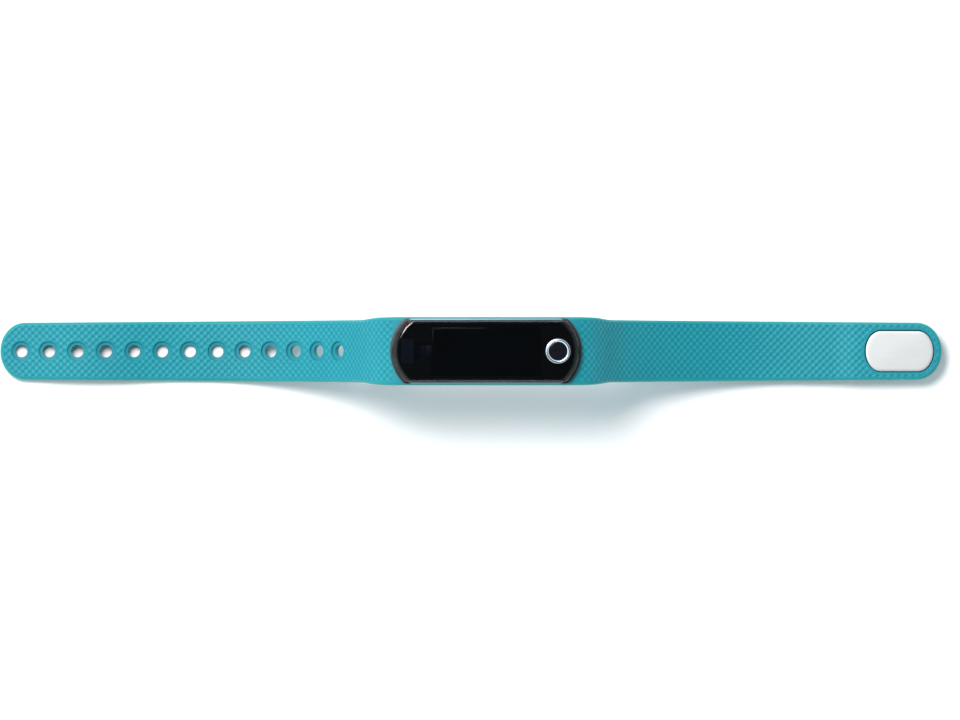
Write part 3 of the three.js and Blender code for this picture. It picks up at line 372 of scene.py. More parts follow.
FINISHES = {
    "silicone": finish_of("moulded silicone", silicone),
    "black_plastic": finish_of("black moulded plastic", black_plastic),
    "smoked_lens": finish_of("smoked lens", smoked_lens),
    # polished metal drawn along its length, with a cool tint
    "bright_trim": finish_of("polished side strip", grained(
        (0.12, 0.23, 0.28), (0.19, 0.32, 0.38), (0.42, 0.14), 1.0, stretch=(120, 6000, 6000),
        metallic=0.6, bump=(0.000004, 0.5))),
    "chrome": finish_of("plated button ring", grained(
        (0.56, 0.63, 0.72), (0.70, 0.76, 0.84), (0.17, 0.08), 1200, metallic=1.0)),
    # brushed along the band
    "steel": finish_of("satin steel", grained(
        (0.54, 0.57, 0.57), (0.67, 0.695, 0.695), (0.4, 0.14), 1.0, 4, 0.6, (150, 9000, 9000),
        metallic=0.75, bump=(0.000005, 0.6))),
    "black_rubber": finish_of("seal rubber", grained(
        (0.010, 0.010, 0.011), (0.026, 0.026, 0.028), (0.62, 0.25), 4200, 4, bump=(0.00002, 0.6))),
    "board": finish_of("circuit board", board_mask),
    "chip": finish_of("chip moulding", grained(
        (0.012, 0.012, 0.013), (0.035, 0.035, 0.037), (0.5, 0.25), 9000, 3, 0.7, bump=(0.00001, 0.7))),
    "metal_can": finish_of("tinned can", grained(
        (0.44, 0.45, 0.46), (0.66, 0.67, 0.68), (0.24, 0.2), 1.0, 4, stretch=(500, 2600, 900),
        metallic=1.0)),
    # slightly scratched by docking
    "gold": finish_of("gold contact", grained(
        (0.62, 0.40, 0.13), (0.90, 0.66, 0.28), (0.16, 0.16), 1.0, stretch=(5000, 300, 300),
        metallic=1.0)),
    # a laminated pouch, faintly creased
    "battery_pouch": finish_of("battery foil", grained(
        (0.28, 0.29, 0.30), (0.44, 0.45, 0.46), (0.28, 0.25), 420, 5, 0.65, metallic=0.8,
        bump=(0.00006, 0.6))),
    "ribbon": finish_of("amber flex", amber_flex),
    "display": finish_of("unlit display", display_glass),
    "button_gloss": finish_of("polished black cap", grained(
        (0.004, 0.005, 0.007), (0.008, 0.010, 0.014), (0.05, 0.04), 900)),
    "film": finish_of("dark printed film", dark_film),
    # copper under the same dark coating
    "film_track": finish_of("coated film track", grained(
        (0.07, 0.10, 0.15), (0.13, 0.17, 0.24), (0.3, 0.2), 2600)),
    "ceramic": finish_of("capacitor ceramic", grained(
        (0.30, 0.21, 0.13), (0.44, 0.33, 0.22), (0.5, 0.2), 6000, 3, 0.7, bump=(0.000008, 0.6))),
    # dark so that they don't shine through the lens
    "blackened_steel": finish_of("blackened screws", grained(
        (0.030, 0.031, 0.034), (0.10, 0.10, 0.105), (0.35, 0.2), 3200, 4, 0.6, metallic=0.8)),
    "red_wire": finish_of("red lead skin", grained(
        (0.36, 0.012, 0.010), (0.55, 0.03, 0.02), (0.34, 0.2), 2500)),
    "black_wire": finish_of("black lead skin", grained(
        (0.010, 0.010, 0.011), (0.03, 0.03, 0.032), (0.34, 0.2), 2500)),
    # milky, with a green core
    "led": finish_of("lamp epoxy", grained(
        (0.30, 0.62, 0.30), (0.62, 0.86, 0.58), (0.2, 0.15), 1800, 2)),
}


# ---- Outlines, in millimetres ----
def mix(low, high, share):
    return low + (high - low) * np.clip(share, 0, 1)


def smooth(share):
    share = np.clip(share, 0, 1)
    return share * share * (3 - 2 * share)


def softened(corners, closed=False, steps=4):
    """A run of (x, z, radius) corners, each rounded off by an arc of its radius."""
    points = []
    for i, (x, z, radius) in enumerate(corners):
        here = Vector((x, z))
        if radius == 0 or (not closed and i in (0, len(corners) - 1)):
            points.append(here)
            continue
        before = (Vector(corners[i - 1][:2]) - here).normalized()
        after = (Vector(corners[(i + 1) % len(corners)][:2]) - here).normalized()
        half = before.angle(after) / 2
        centre = here + (before + after).normalized() * radius / sin(half)
        start = here + before * radius / tan(half) - centre
        end = here + after * radius / tan(half) - centre
        turn = start.angle(end)
        for k in range(steps + 1):
            part = turn * k / steps
            points.append(centre + (start * sin(turn - part) + end * sin(part)) / sin(turn))
    return points


def pod_outline(inset, half_width=None, corner=None, end_steps=24, corner_steps=8):
    """Straight sides, a shallow arc at each end and a rounded corner between them."""
    half_width = half_width or POD_HALF_WIDTH - inset
    corner = corner or max(POD_CORNER - inset / 2, 0.3)
    radius = POD_END_RADIUS - inset
    centre = POD_HALF_LENGTH - POD_END_RADIUS
    reach = sqrt((radius - corner) ** 2 - (half_width - corner) ** 2)
    sweep = atan2(half_width - corner, reach)
    quarter = []
    for i in range(end_steps // 2 + 1):
        angle = sweep * i / (end_steps // 2)
        quarter.append((centre + radius * cos(angle), radius * sin(angle)))
    for i in range(1, corner_steps + 1):
        angle = mix(sweep, pi / 2, i / corner_steps)
        quarter.append((centre + reach + corner * cos(angle), half_width - corner + corner * sin(angle)))
    upper = quarter + [(-x, y) for x, y in reversed(quarter)]
    return upper + [(x, -y) for x, y in reversed(upper[1:-1])]


def capsule(length, width, cap, steps=24):
    """A bar with half-elliptical ends."""
    points = []
    for side in (1, -1):
        for i in range(steps + 1):
            angle = -pi / 2 + pi * i / steps
            points.append((side * (length / 2 - cap + cap * cos(angle)), side * width / 2 * sin(angle)))
    return points


def at_height(outline, z):
    return [(x, y, z) for x, y in outline]


def circle(radius, steps, middle=(0, 0)):
    turns = [2 * pi * i / steps for i in range(steps)]
    return [(middle[0] + radius * cos(turn), middle[1] + radius * sin(turn)) for turn in turns]


# ---- Meshes, in millimetres ----
def written(shape):
    """A new mesh from a bmesh, which is freed."""
    mesh = bpy.data.meshes.new("shape")
    shape.to_mesh(mesh)
    shape.free()
    return mesh


def mesh_of(points, faces):
    mesh = bpy.data.meshes.new("shape")
    mesh.from_pydata([tuple(point) for point in points], [], faces)
    outward = bmesh.new()
    outward.from_mesh(mesh)
    bmesh.ops.recalc_face_normals(outward, faces=outward.faces)
    outward.to_mesh(mesh)
    outward.free()
    return mesh


def lofted(rings, closed=False):
    """A skin through rings with the same number of points, capped at its ends unless it closes."""
    count = len(rings[0])
    faces = []
    for ring in range(len(rings) if closed else len(rings) - 1):
        start = ring * count
        after = (ring + 1) % len(rings) * count
        for i in range(count):
            j = (i + 1) % count
            faces.append((start + i, start + j, after + j, after + i))
    if not closed:
        faces.append(tuple(range(count)))
        faces.append(tuple(range((len(rings) - 1) * count, len(rings) * count)))
    return mesh_of([point for ring in rings for point in ring], faces)


def turned(profile, steps=64):
    """A solid turned about Z from (radius, height) points; off the axis, it closes on itself."""
    points, rings, faces = [], [], []
    for radius, height in profile:
        first = len(points)
        if radius < 1e-6:
            points.append((0, 0, height))
            rings.append([first] * steps)
        else:
            points += at_height(circle(radius, steps), height)
            rings.append([first + i for i in range(steps)])
    pairs = list(zip(rings, rings[1:]))
    if profile[0][0] > 1e-6:
        pairs.append((rings[-1], rings[0]))
    for low, high in pairs:
        for i in range(steps):
            j = (i + 1) % steps
            faces.append(tuple(dict.fromkeys((low[i], low[j], high[j], high[i]))))
    return mesh_of(points, faces)


def prism(outline, low, high):
    return lofted([at_height(outline, low), at_height(outline, high)])


def rod(radius, low, high, steps=32):
    """A plain round bar on the Z axis."""
    return turned([(0, low), (radius, low), (radius, high), (0, high)], steps)


def stacked(outline, profile, closed=False):
    """A skin through the outlines at (inset, height) points."""
    return lofted([at_height(outline(inset), z) for inset, z in profile], closed)


def bar(size, cap, profile, steps=24):
    """A bar with half-elliptical ends, from (inset, height) points."""

    def outline(inset):
        return capsule(size.x - 2 * inset, size.y - 2 * inset, cap - inset, steps)

    return stacked(outline, profile)


def brick(low, high, bevel=0.1, segments=2):
    """A box between two corners with rounded edges."""
    shape = bmesh.new()
    bmesh.ops.create_cube(shape, size=1)
    size = Vector(high) - Vector(low)
    middle = (Vector(high) + Vector(low)) / 2
    shape.transform(Matrix.Translation(middle) @ Matrix.Diagonal((*size, 1)))
    bmesh.ops.bevel(shape, geom=shape.edges, offset=bevel, segments=segments, profile=0.5, affect="EDGES")
    return written(shape)


def moved(mesh, x=0.0, y=0.0, z=0.0, turn=None):
    if turn:
        mesh.transform(turn)
    mesh.transform(Matrix.Translation((x, y, z)))
    return mesh


def joined(*meshes):
    """Separate closed shapes as one mesh."""
    whole = bmesh.new()
    for mesh in meshes:
        whole.from_mesh(mesh)
    return written(whole)


def thing(mesh, name="shape"):
    obj = bpy.data.objects.new(name, mesh)
    bpy.context.scene.collection.objects.link(obj)
    return obj


def settled(obj, helpers=()):
    """The plain mesh that an object's modifiers make; the object and its helpers go."""
    graph = bpy.context.evaluated_depsgraph_get()
    mesh = bpy.data.meshes.new_from_object(obj.evaluated_get(graph))
    for spare in (obj, *helpers):
        bpy.data.objects.remove(spare)
    return mesh


def carved(mesh, *cutters, operation="DIFFERENCE"):
    """A mesh with the cutters cut out of it, or joined into it."""
    body = thing(mesh)
    helpers = [thing(cutter) for cutter in cutters]
    for helper in helpers:
        cut = body.modifiers.new("cut", "BOOLEAN")
        cut.operation = operation
        cut.solver = "MANIFOLD"
        cut.object = helper
    return settled(body, helpers)


def outfitted(name, mesh, slot, *replaced, body="pod", sharp=35, finish=None):
    """A finished piece in place, with its finish, that rides on a body."""
    mesh.transform(TO_WORLD)
    mesh.materials.clear()
    mesh.materials.append(FINISHES[finish or slot])
    mesh.shade_smooth()
    mesh.set_sharp_from_angle(angle=radians(sharp))
    piece = thing(mesh, name)
    if body:
        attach(piece, body)
    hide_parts(*replaced)
    return piece


# ---- Geometry Nodes ----
def growing_tree(name, inputs):
    """A Geometry Nodes tree with named inputs. Gives the tree and its inputs as wires."""
    tree = bpy.data.node_groups.new(name, "GeometryNodeTree")
    tree.interface.new_socket("Geometry", in_out="INPUT", socket_type="NodeSocketGeometry")
    for label, kind in inputs.items():
        tree.interface.new_socket(label, in_out="INPUT", socket_type="NodeSocket" + kind)
    tree.interface.new_socket("Geometry", in_out="OUTPUT", socket_type="NodeSocketGeometry")
    start = tree.nodes.new("NodeGroupInput")
    wires = {label: Wire(tree, start.outputs[label]) for label in ("Geometry", *inputs)}
    return tree, wires


def end_tree(geometry, material):
    """The end of every tree: real faces, in their finish."""
    real = geometry.node("GeometryNodeRealizeInstances", None, {"Geometry": geometry})
    finished = geometry.node("GeometryNodeSetMaterial", None, {"Geometry": real, "Material": material})
    geometry.node("NodeGroupOutput", None, {"Geometry": finished})


def grown(tree, mesh, values, helpers=()):
    """The mesh that a tree makes of a mesh, with its inputs set by their sockets' identifiers."""
    base = thing(mesh)
    modifier = base.modifiers.new("grow", "NODES")
    modifier.node_group = tree
    for item in tree.interface.items_tree:
        if item.in_out == "INPUT" and item.name in values:
            modifier[item.identifier] = values[item.name]
    return settled(base, helpers)


def bending_tree():
    """Raises the moulded pattern on a flat strip, then lays the strip along the band's line."""
    kinds = {"Line": "Object", "Line start": "Float", "Height": "Float", "Finish": "Material"}
    tree, given = growing_tree("lay along the band", kinds)
    flat = given["Geometry"]
    place = flat.node("GeometryNodeInputPosition")
    along, across, up = (axis_of(place, axis) for axis in "XYZ")

    def stored(name):
        return flat.node("GeometryNodeInputNamedAttribute", {"data_type": "FLOAT"}, {"Name": name})

    def ridge(turns):
        return flat.math("PINGPONG", turns + 0.25, 0.5) * 4.0 - 1.0

    turns_along = stored("turns_along")
    turns_across = stored("turns_across")
    wave = (ridge(turns_along + turns_across) + ridge(turns_along - turns_across)) * 0.5
    relief = stored("share") * wave
    # the silicone finish reads this to paint shade into the pattern's pits and a highlight onto its crests
    named = flat.node(
        "GeometryNodeStoreNamedAttribute", {"data_type": "FLOAT", "domain": "POINT"},
        {"Geometry": flat, "Name": "relief", "Value": relief},
    )
    height = up + relief * given["Height"]
    line = flat.node("GeometryNodeObjectInfo", None, {"Object": given["Line"]}, "Geometry")
    sample = {"Curves": line, "Length": along - given["Line start"]}
    mode = {"mode": "LENGTH", "use_all_curves": False}
    on_line = flat.node("GeometryNodeSampleCurve", mode, sample, "Position")
    tangent = flat.node("GeometryNodeSampleCurve", mode, sample, "Tangent")
    out = flat.node(
        "ShaderNodeVectorMath", {"operation": "CROSS_PRODUCT"}, {0: tangent, 1: (0.0, 1.0, 0.0)},
    )
    lift = flat.node("ShaderNodeVectorMath", {"operation": "SCALE"}, {0: out, "Scale": height})
    side = flat.node("ShaderNodeCombineXYZ", None, {"Y": across})
    spot = flat.node("ShaderNodeVectorMath", {"operation": "ADD"}, {0: on_line, 1: lift})
    spot = flat.node("ShaderNodeVectorMath", {"operation": "ADD"}, {0: spot, 1: side})
    bent = flat.node("GeometryNodeSetPosition", None, {"Geometry": named, "Position": spot})
    end_tree(bent, given["Finish"])
    return tree


def row_tree():
    """Sets copies of a part on a grid of points."""
    kinds = {"Part": "Object", "Count along": "Int", "Count across": "Int", "Pitch along": "Float",
             "Pitch across": "Float", "Finish": "Material"}
    tree, given = growing_tree("set out in rows", kinds)
    base = given["Geometry"]
    along = given["Count along"]
    across = given["Count across"]
    grid = base.node(
        "GeometryNodeMeshGrid", None,
        {"Size X": given["Pitch along"] * (along - 1), "Size Y": given["Pitch across"] * (across - 1),
         "Vertices X": along, "Vertices Y": across},
    )
    part = base.node("GeometryNodeObjectInfo", None, {"Object": given["Part"]}, "Geometry")
    copies = base.node("GeometryNodeInstanceOnPoints", None, {"Points": grid, "Instance": part})
    end_tree(copies, given["Finish"])
    return tree


BENDING = bending_tree()
ROWS = row_tree()


def rows_of(part, slot, along, across, pitch_along, pitch_across=0.0):
    """A mesh of one part set out on a grid round the origin."""
    helper = thing(part)
    empty = bpy.data.meshes.new("shape")
    values = {"Part": helper, "Count along": along, "Count across": across, "Pitch along": pitch_along,
              "Pitch across": pitch_across, "Finish": FINISHES[slot]}
    return grown(ROWS, empty, values, [helper])


# ---- The band's line, seen from the side ----
def arc(radius, start, end):
    return (radius * abs(end - start), start, end)


TURN = arc(TURN_RADIUS, 0, ROOT_SLOPE)
ROOT_AT = POD_FLAT + TURN[0]
PUNCHED_RUNS = [
    (POD_FLAT, 0, 0), TURN, (12.2, ROOT_SLOPE, ROOT_SLOPE), arc(49.1, ROOT_SLOPE, 0),
    (4.6, 0, 0), (12.0, 0, -PUNCHED_RISE), (12.0, -PUNCHED_RISE, 0), (11.5, 0, PUNCHED_FALL),
    (11.5, PUNCHED_FALL, 0),
]
CLASP_ROOT_DROP = (
    -SURFACE - PEG_LENGTH + 2 * CLASP_SWEEP * (1 - cos(CLASP_DIP)) + CLASP_RISE_RUN * sin(CLASP_DIP)
    - (TURN_RADIUS + CLASP_SWEEP) * (1 - cos(ROOT_SLOPE))
)
CLASP_RUNS = [
    (POD_FLAT, 0, 0), TURN, (CLASP_ROOT_DROP / sin(ROOT_SLOPE), ROOT_SLOPE, ROOT_SLOPE),
    arc(CLASP_SWEEP, ROOT_SLOPE, -CLASP_DIP), (CLASP_RISE_RUN, -CLASP_DIP, -CLASP_DIP),
    arc(CLASP_SWEEP, -CLASP_DIP, 0), (20.0, 0, 0),
]


class Tail:
    """One side of the band. Distances run outwards along its wrist side from the pod's middle."""

    def __init__(self, side, runs, hinges, spacing, bodies):
        self.side = side
        self.runs = runs
        self.end = sum(run[0] for run in runs)
        self.hinges = hinges
        self.spacing = spacing
        self.wave = spacing / WAVES_PER_LINK
        self.bodies = ["cradle"] + bodies
        self.seams = [hinges[0] - spacing / 2] + [hinge + spacing / 2 for hinge in hinges]

    def point(self, distance):
        """The place on the line, and the slope there, positive downwards."""
        x = z = slope = 0.0
        for length, start, end in self.runs:
            part = min(distance, length)
            slope = start + (end - start) * part / length
            if abs(end - start) < 1e-9:
                x += part * cos(start)
                z -= part * sin(start)
            else:
                radius = length / (end - start)
                x += radius * (sin(slope) - sin(start))
                z += radius * (cos(slope) - cos(start))
            distance -= part
            if distance <= 0:
                break
        return self.side * x, z, slope

    def in_world(self, distance, up=0.0):
        x, z, slope = self.point(distance)
        spot = Vector((x + self.side * up * sin(slope), 0, z + up * cos(slope)))
        return TO_WORLD @ spot


PUNCHED_END = sum(run[0] for run in PUNCHED_RUNS)
CLASP_END = sum(run[0] for run in CLASP_RUNS)
HOLES = [PUNCHED_END - HOLE_TO_TIP - HOLE_PITCH * i for i in range(HOLE_COUNT)]
PLATE_AT = CLASP_END - PLATE_TO_TIP - PLATE.size.x / 2
PUNCHED = Tail(
    -1, PUNCHED_RUNS,
    [PUNCHED_END - HOLE_TO_TIP - HOLE_PITCH * (2 * (PUNCHED_LINKS - i) - 0.5) for i in range(PUNCHED_LINKS)],
    2 * HOLE_PITCH,
    [f"punched_tail_link_{i + 1}" for i in range(PUNCHED_LINKS)],
)
CLASP = Tail(
    1, CLASP_RUNS,
    [ROOT_AT + CLASP_FIRST_HINGE + CLASP_HINGE_SPACING * i for i in range(CLASP_LINKS)],
    CLASP_HINGE_SPACING,
    [f"clasp_tail_link_{i + 1}" for i in range(CLASP_LINKS)],
)


# ---- The moulded pattern's place: it keeps its length where the outside of the band is stretched ----
STRETCH = 4.2 / TURN_RADIUS  # the outside of the turn against its wrist side


def pattern_place(d):
    return d - STRETCH * np.clip(ROOT_AT - d, 0, None)


def band_place(q):
    return np.where(q < ROOT_AT, ROOT_AT - (ROOT_AT - q) / (1 + STRETCH), q)


def wave_at(s):
    return mix(PUNCHED.wave, CLASP.wave, (s + POD_FLAT) / (2 * POD_FLAT))


def rows_between(tail, start, stop):
    """Distances from start to stop, on the pattern's steps but no closer to either end than 0.3 of one."""
    step = tail.wave / STEPS_PER_WAVE
    origin = tail.seams[1]
    first = ceil((pattern_place(start) - origin) / step + 0.3)
    last = ceil((pattern_place(stop) - origin) / step - 0.3)
    inner = band_place(origin + step * np.arange(first, last))
    return [start, *inner.tolist(), stop]


# ---- The band's section, along it: distances below zero are on the punched side ----
def half_width_at(s):
    d = np.abs(s)
    end = np.where(s < 0, PUNCHED_END, CLASP_END)
    taper = mix(ROOT_HALF_WIDTH, TIP_HALF_WIDTH, (d - ROOT_AT) / (end - ROOT_AT))
    flare = smooth((ROOT_AT + ROOT_FLARE_OVER - d) / (ROOT_AT + ROOT_FLARE_OVER - POD_FLAT))
    return mix(taper, BAND_HALF_WIDTH_AT_POD, flare)


def thickness_at(s):
    d = np.abs(s)
    near = mix(RAIL_HEIGHT, ROOT_THICKNESS, (d - POD_FLAT) / TURN[0])
    far = mix(ROOT_THICKNESS, TAIL_THICKNESS, smooth((d - ROOT_AT) / TAIL_THINS_OVER))
    thickens_at = PLATE_AT - PLATE.size.x / 2 - 2
    clasp = (CLASP_THICKNESS - TAIL_THICKNESS) * smooth((s - thickens_at) / CLASP_THICKENS_OVER + 1)
    return np.where(d < ROOT_AT, near, far) + clasp


def rounded_off(inside, radius):
    """How far a surface has dropped this far inside an edge rounded to a radius."""
    left = np.clip(radius - inside, 0, radius)
    return radius - np.sqrt(radius * radius - left * left)


def over_edge(shoulder):
    """Places from the shoulder of the rounded top edge out to its side."""
    return shoulder + TOP_EDGE_RADIUS * np.sin(np.linspace(0, pi / 2, 7)[1:])


def across(half_width, wave):
    """Places across the band: on the pattern's grid, then closer over the rounded edge."""
    grid = wave / STEPS_PER_WAVE * np.arange(0, 28)
    shoulder = half_width - TOP_EDGE_RADIUS
    outer = np.linspace(grid[-1], shoulder, 9)[1:]
    right = np.concatenate([grid, outer, over_edge(shoulder)])
    return np.concatenate([-right[:0:-1], right])


def strip(rows, tip=False):
    """A flat strip of band: X along it, Y across, Z up from the wrist side. The tip is half round."""
    rows = np.asarray(rows)
    side = 1 if rows[-1] > 0 else -1
    wave = wave_at(rows[-1])
    width = half_width_at(rows)
    y = np.array([across(w, wave_at(row)) for w, row in zip(width, rows)])
    s = np.repeat(rows[:, None], y.shape[1], axis=1)
    inside = width[:, None] - np.abs(y)
    if tip:
        edge = TIP_LENGTH - TOP_EDGE_RADIUS
        steps = ceil(edge / (wave / STEPS_PER_WAVE))
        flat = np.linspace(0, edge, steps + 1)[1:]
        b = (np.concatenate([flat, over_edge(edge)]) / TIP_LENGTH)[:, None]
        a = (y[-1] / width[-1])[None, :]
        tip_y = width[-1] * a * np.sqrt(1 - b * b / 2)
        beyond = TIP_LENGTH * b * np.sqrt(1 - a * a / 2)
        rho = np.sqrt((tip_y / width[-1]) ** 2 + (beyond / TIP_LENGTH) ** 2)
        turn = np.arctan2(beyond / TIP_LENGTH, np.abs(tip_y) / width[-1])
        local = np.sqrt((width[-1] * np.cos(turn)) ** 2 + (TIP_LENGTH * np.sin(turn)) ** 2)
        s = np.concatenate([s, rows[-1] + side * beyond])
        y = np.concatenate([y, tip_y])
        inside = np.concatenate([inside, (1 - rho) * local])
    thick = thickness_at(s)
    inside = np.clip(inside, 0, None)
    top = np.stack([s, y, thick - rounded_off(inside, TOP_EDGE_RADIUS)], axis=2)
    wrist = np.stack([s, y, rounded_off(inside, WRIST_EDGE_RADIUS)], axis=2)
    count, columns = s.shape
    index = np.arange(count * columns).reshape(count, columns)
    under = index + count * columns
    faces = []

    def quads(corners):
        faces.extend(np.stack([corner.ravel() for corner in corners], axis=1).tolist())

    for sheet in (index, under):
        quads((sheet[:-1, :-1], sheet[1:, :-1], sheet[1:, 1:], sheet[:-1, 1:]))
    for column in (0, -1):
        quads((index[:-1, column], index[1:, column], under[1:, column], under[:-1, column]))
    for row in (0, -1):
        quads((index[row, :-1], index[row, 1:], under[row, 1:], under[row, :-1]))
    points = np.concatenate([top.reshape(-1, 3), wrist.reshape(-1, 3)])
    return mesh_of(points.tolist(), faces)


def coordinates(mesh):
    flat = np.empty(len(mesh.vertices) * 3, np.float32)
    mesh.vertices.foreach_get("co", flat)
    return flat.reshape(-1, 3)


def store(mesh, name, values):
    attribute = mesh.attributes.new(name, "FLOAT", "POINT")
    attribute.data.foreach_set("value", values.astype(np.float32))


def from_edge(s, y):
    """How far inside the band's outline a point is."""
    end = np.where(s < 0, PUNCHED_END, CLASP_END)
    into_tip = np.clip((np.abs(s) - (end - TIP_LENGTH)) / TIP_LENGTH, 0, 1)
    width = half_width_at(s)
    in_tip = (1 - np.sqrt((y / width) ** 2 + into_tip ** 2)) * TIP_LENGTH
    return np.where(into_tip > 0, in_tip, width - np.abs(y))


def from_holes(s, y):
    nearest = np.clip(np.round((PUNCHED_END - HOLE_TO_TIP + s) / HOLE_PITCH), 0, HOLE_COUNT - 1)
    return np.hypot(s + PUNCHED_END - HOLE_TO_TIP - HOLE_PITCH * nearest, y)


def from_plate(s, y):
    beyond = np.clip(np.abs(s - PLATE_AT) - PLATE.size.x / 2 + PLATE_CAP, 0, None)
    return (np.hypot(beyond / PLATE_CAP, y / (PLATE.size.y / 2)) - 1) * PLATE_CAP


def patterned(mesh):
    """Stores where each point of a flat strip is in the pattern, and how much of it the point takes."""
    s, y, z = coordinates(mesh).T.astype(float)
    d = np.abs(s)
    origin = np.where(s < 0, PUNCHED.seams[1], CLASP.seams[1])
    wave = wave_at(s)
    inside = from_edge(s, y)
    share = smooth((inside - PLAIN_RIM) / PATTERN_FADE) * smooth((d - PATTERN_FROM) / SHORT_FADE)
    share = share * smooth((from_holes(s, y) - COUNTERBORE_RADIUS - PLAIN_ROUND_HOLE) / PATTERN_FADE)
    share = share * smooth((from_plate(s, y) - PLAIN_ROUND_PLATE) / SHORT_FADE)
    store(mesh, "share", share * (z > thickness_at(s) * 0.6))
    store(mesh, "turns_along", (pattern_place(d) - origin) / wave)
    store(mesh, "turns_across", y / wave)
    # read by the silicone finish to paint a highlight along the band's rounded edges
    store(mesh, "rim", 1 - smooth(inside / 0.9))
    return mesh


def band_line():
    """The band's wrist side as one curve, from the punched tip to the clasp tip."""
    step = 0.25
    inner = [PUNCHED.point(PUNCHED_END - step * i) for i in range(int(PUNCHED_END / step) + 1)]
    outer = [CLASP.point(step * i) for i in range(int(CLASP_END / step) + 1)]
    if PUNCHED_END % step > 1e-6:
        inner.append(PUNCHED.point(0.0))
    points = inner + outer[1:] + [CLASP.point(CLASP_END)]
    curve = bpy.data.curves.new("band line", "CURVE")
    curve.dimensions = "3D"
    spline = curve.splines.new("POLY")
    spline.points.add(len(points) - 1)
    for place, (x, z, _) in zip(spline.points, points):
        place.co = (x, 0, z, 1)
    return thing(curve, "band_line")


def laid(mesh, line):
    """A flat strip with its pattern raised, laid along the band's line."""
    values = {"Line": line, "Line start": -PUNCHED_END, "Height": RELIEF_HEIGHT,
              "Finish": FINISHES["silicone"]}
    return grown(BENDING, patterned(mesh), values)


def hole_cutter(distance):
    """A stepped hole with its edges eased, ready to cut from a flat strip."""
    top = TAIL_THICKNESS
    step = top - COUNTERBORE_DEPTH
    profile = softened([
        (0, -1, 0), (HOLE_RADIUS + 0.9, -1, 0), (HOLE_RADIUS + 0.12, 0, 0.1), (HOLE_RADIUS, 0.2, 0.1),
        (HOLE_RADIUS, step, 0.06), (COUNTERBORE_RADIUS, step, 0.15), (COUNTERBORE_RADIUS, top - 0.1, 0.06),
        (COUNTERBORE_RADIUS + 0.14, top + 0.03, 0.05), (COUNTERBORE_RADIUS + 0.5, top + 1, 0),
        (0, top + 1, 0),
    ])
    return moved(turned(profile, 56), -distance)


def plate_recess():
    """What the clasp's plate, backing strip and peg shanks need cut from the last strip."""
    bottom = CLASP_THICKNESS + PLATE_PROUD - PLATE_THICKNESS
    profile = [(-PLATE_GAP, bottom - 0.1), (-PLATE_GAP, CLASP_THICKNESS - 0.12),
               (-PLATE_GAP - 0.18, CLASP_THICKNESS + 0.04), (-PLATE_GAP - 0.4, CLASP_THICKNESS + 1)]
    over = bar(PLATE.size, PLATE_CAP, profile)
    back = Span("clasp_backing_strip").size
    under = bar(back, back.y / 2, [(-0.1, -1), (-0.1, 0.6)])
    shanks = [moved(rod(1.0, 0.3, bottom), x) for x in (-HOLE_PITCH / 2, HOLE_PITCH / 2)]
    return [moved(cutter, PLATE_AT) for cutter in (over, under, *shanks)]


def tail_pieces(tail, label, line):
    """One strip for each link, which takes the place of that link's frame part."""
    clear = 0.8  # a bend would stay this far inside each seam; the points worked out from it are not used
    short = 0.5  # and end this far past the clasp's last hinge, short of its plate
    links = len(tail.hinges)
    for i, hinge in enumerate(tail.hinges):
        last = i == links - 1
        start = tail.seams[i]
        stop = tail.end - TIP_LENGTH if last else tail.seams[i + 1]
        mesh = strip(tail.side * np.array(rows_between(tail, start, stop)), last)
        beyond = tail.end if last else stop
        if tail is PUNCHED:
            cutters = [hole_cutter(hole) for hole in HOLES if start < hole < beyond]
        else:
            cutters = plate_recess() if last else []
        if cutters:
            mesh = carved(mesh, *cutters)
        mesh = laid(mesh, line)
        body = tail.bodies[i + 1]
        piece = outfitted(f"{label}_{i + 1}", mesh, "silicone", body, body=None, sharp=50)
        bend_end = hinge + short if last and tail is CLASP else hinge + tail.spacing / 2 - clear
        tail.in_world(start + clear, 1.0)
        tail.in_world(bend_end, 1.0)
        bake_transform(piece)


def cradle_piece(line):
    """The frame round the pod, with the start of each tail."""
    fine_from = POD_FLAT + 0.4
    left = -np.array(rows_between(PUNCHED, fine_from, PUNCHED.seams[0]))[::-1]
    right = np.array(rows_between(CLASP, fine_from, CLASP.seams[0]))
    middle = np.linspace(-fine_from, fine_from, 41)[1:-1]
    mesh = laid(strip(np.concatenate([left, middle, right])), line)
    pocket = prism(pod_outline(BODY_INSET - POCKET_GAP), -10, 10)
    outfitted("band_cradle", carved(mesh, pocket), "silicone", "cradle", body="cradle", sharp=50)


# ---- Pod shells ----
def trim_outline(clearance):
    half = TRIM.size.x / 2 + clearance
    inner = POD_HALF_WIDTH - TRIM.size.y - clearance
    outer = POD_HALF_WIDTH + 2 * clearance
    return [(-half, inner), (half, inner), (half - 0.8, outer), (-half + 0.8, outer)]


def half_turn(mesh):
    return moved(mesh, turn=Matrix.Rotation(pi, 4, "Z"))


def pod_case():
    """The body with its flange, notched for the side strips."""
    wall = BODY_INSET + CASE_WALL
    profile = softened([
        (wall, CASE.low.z, 0.05), (BODY_INSET, CASE.low.z, 0.12), (BODY_INSET, FLANGE_BOTTOM, 0.1),
        (0, FLANGE_BOTTOM, 0.22), (0, FLANGE_TOP, 0.2), (wall, FLANGE_TOP, 0.05),
    ], closed=True)
    shell = stacked(pod_outline, profile, closed=True)
    notches = [prism(trim_outline(0.05), TRIM.low.z - 0.05, FLANGE_TOP + 1) for _ in range(2)]
    half_turn(notches[1])
    outfitted("pod_case", carved(shell, *notches), "black_plastic", "case")


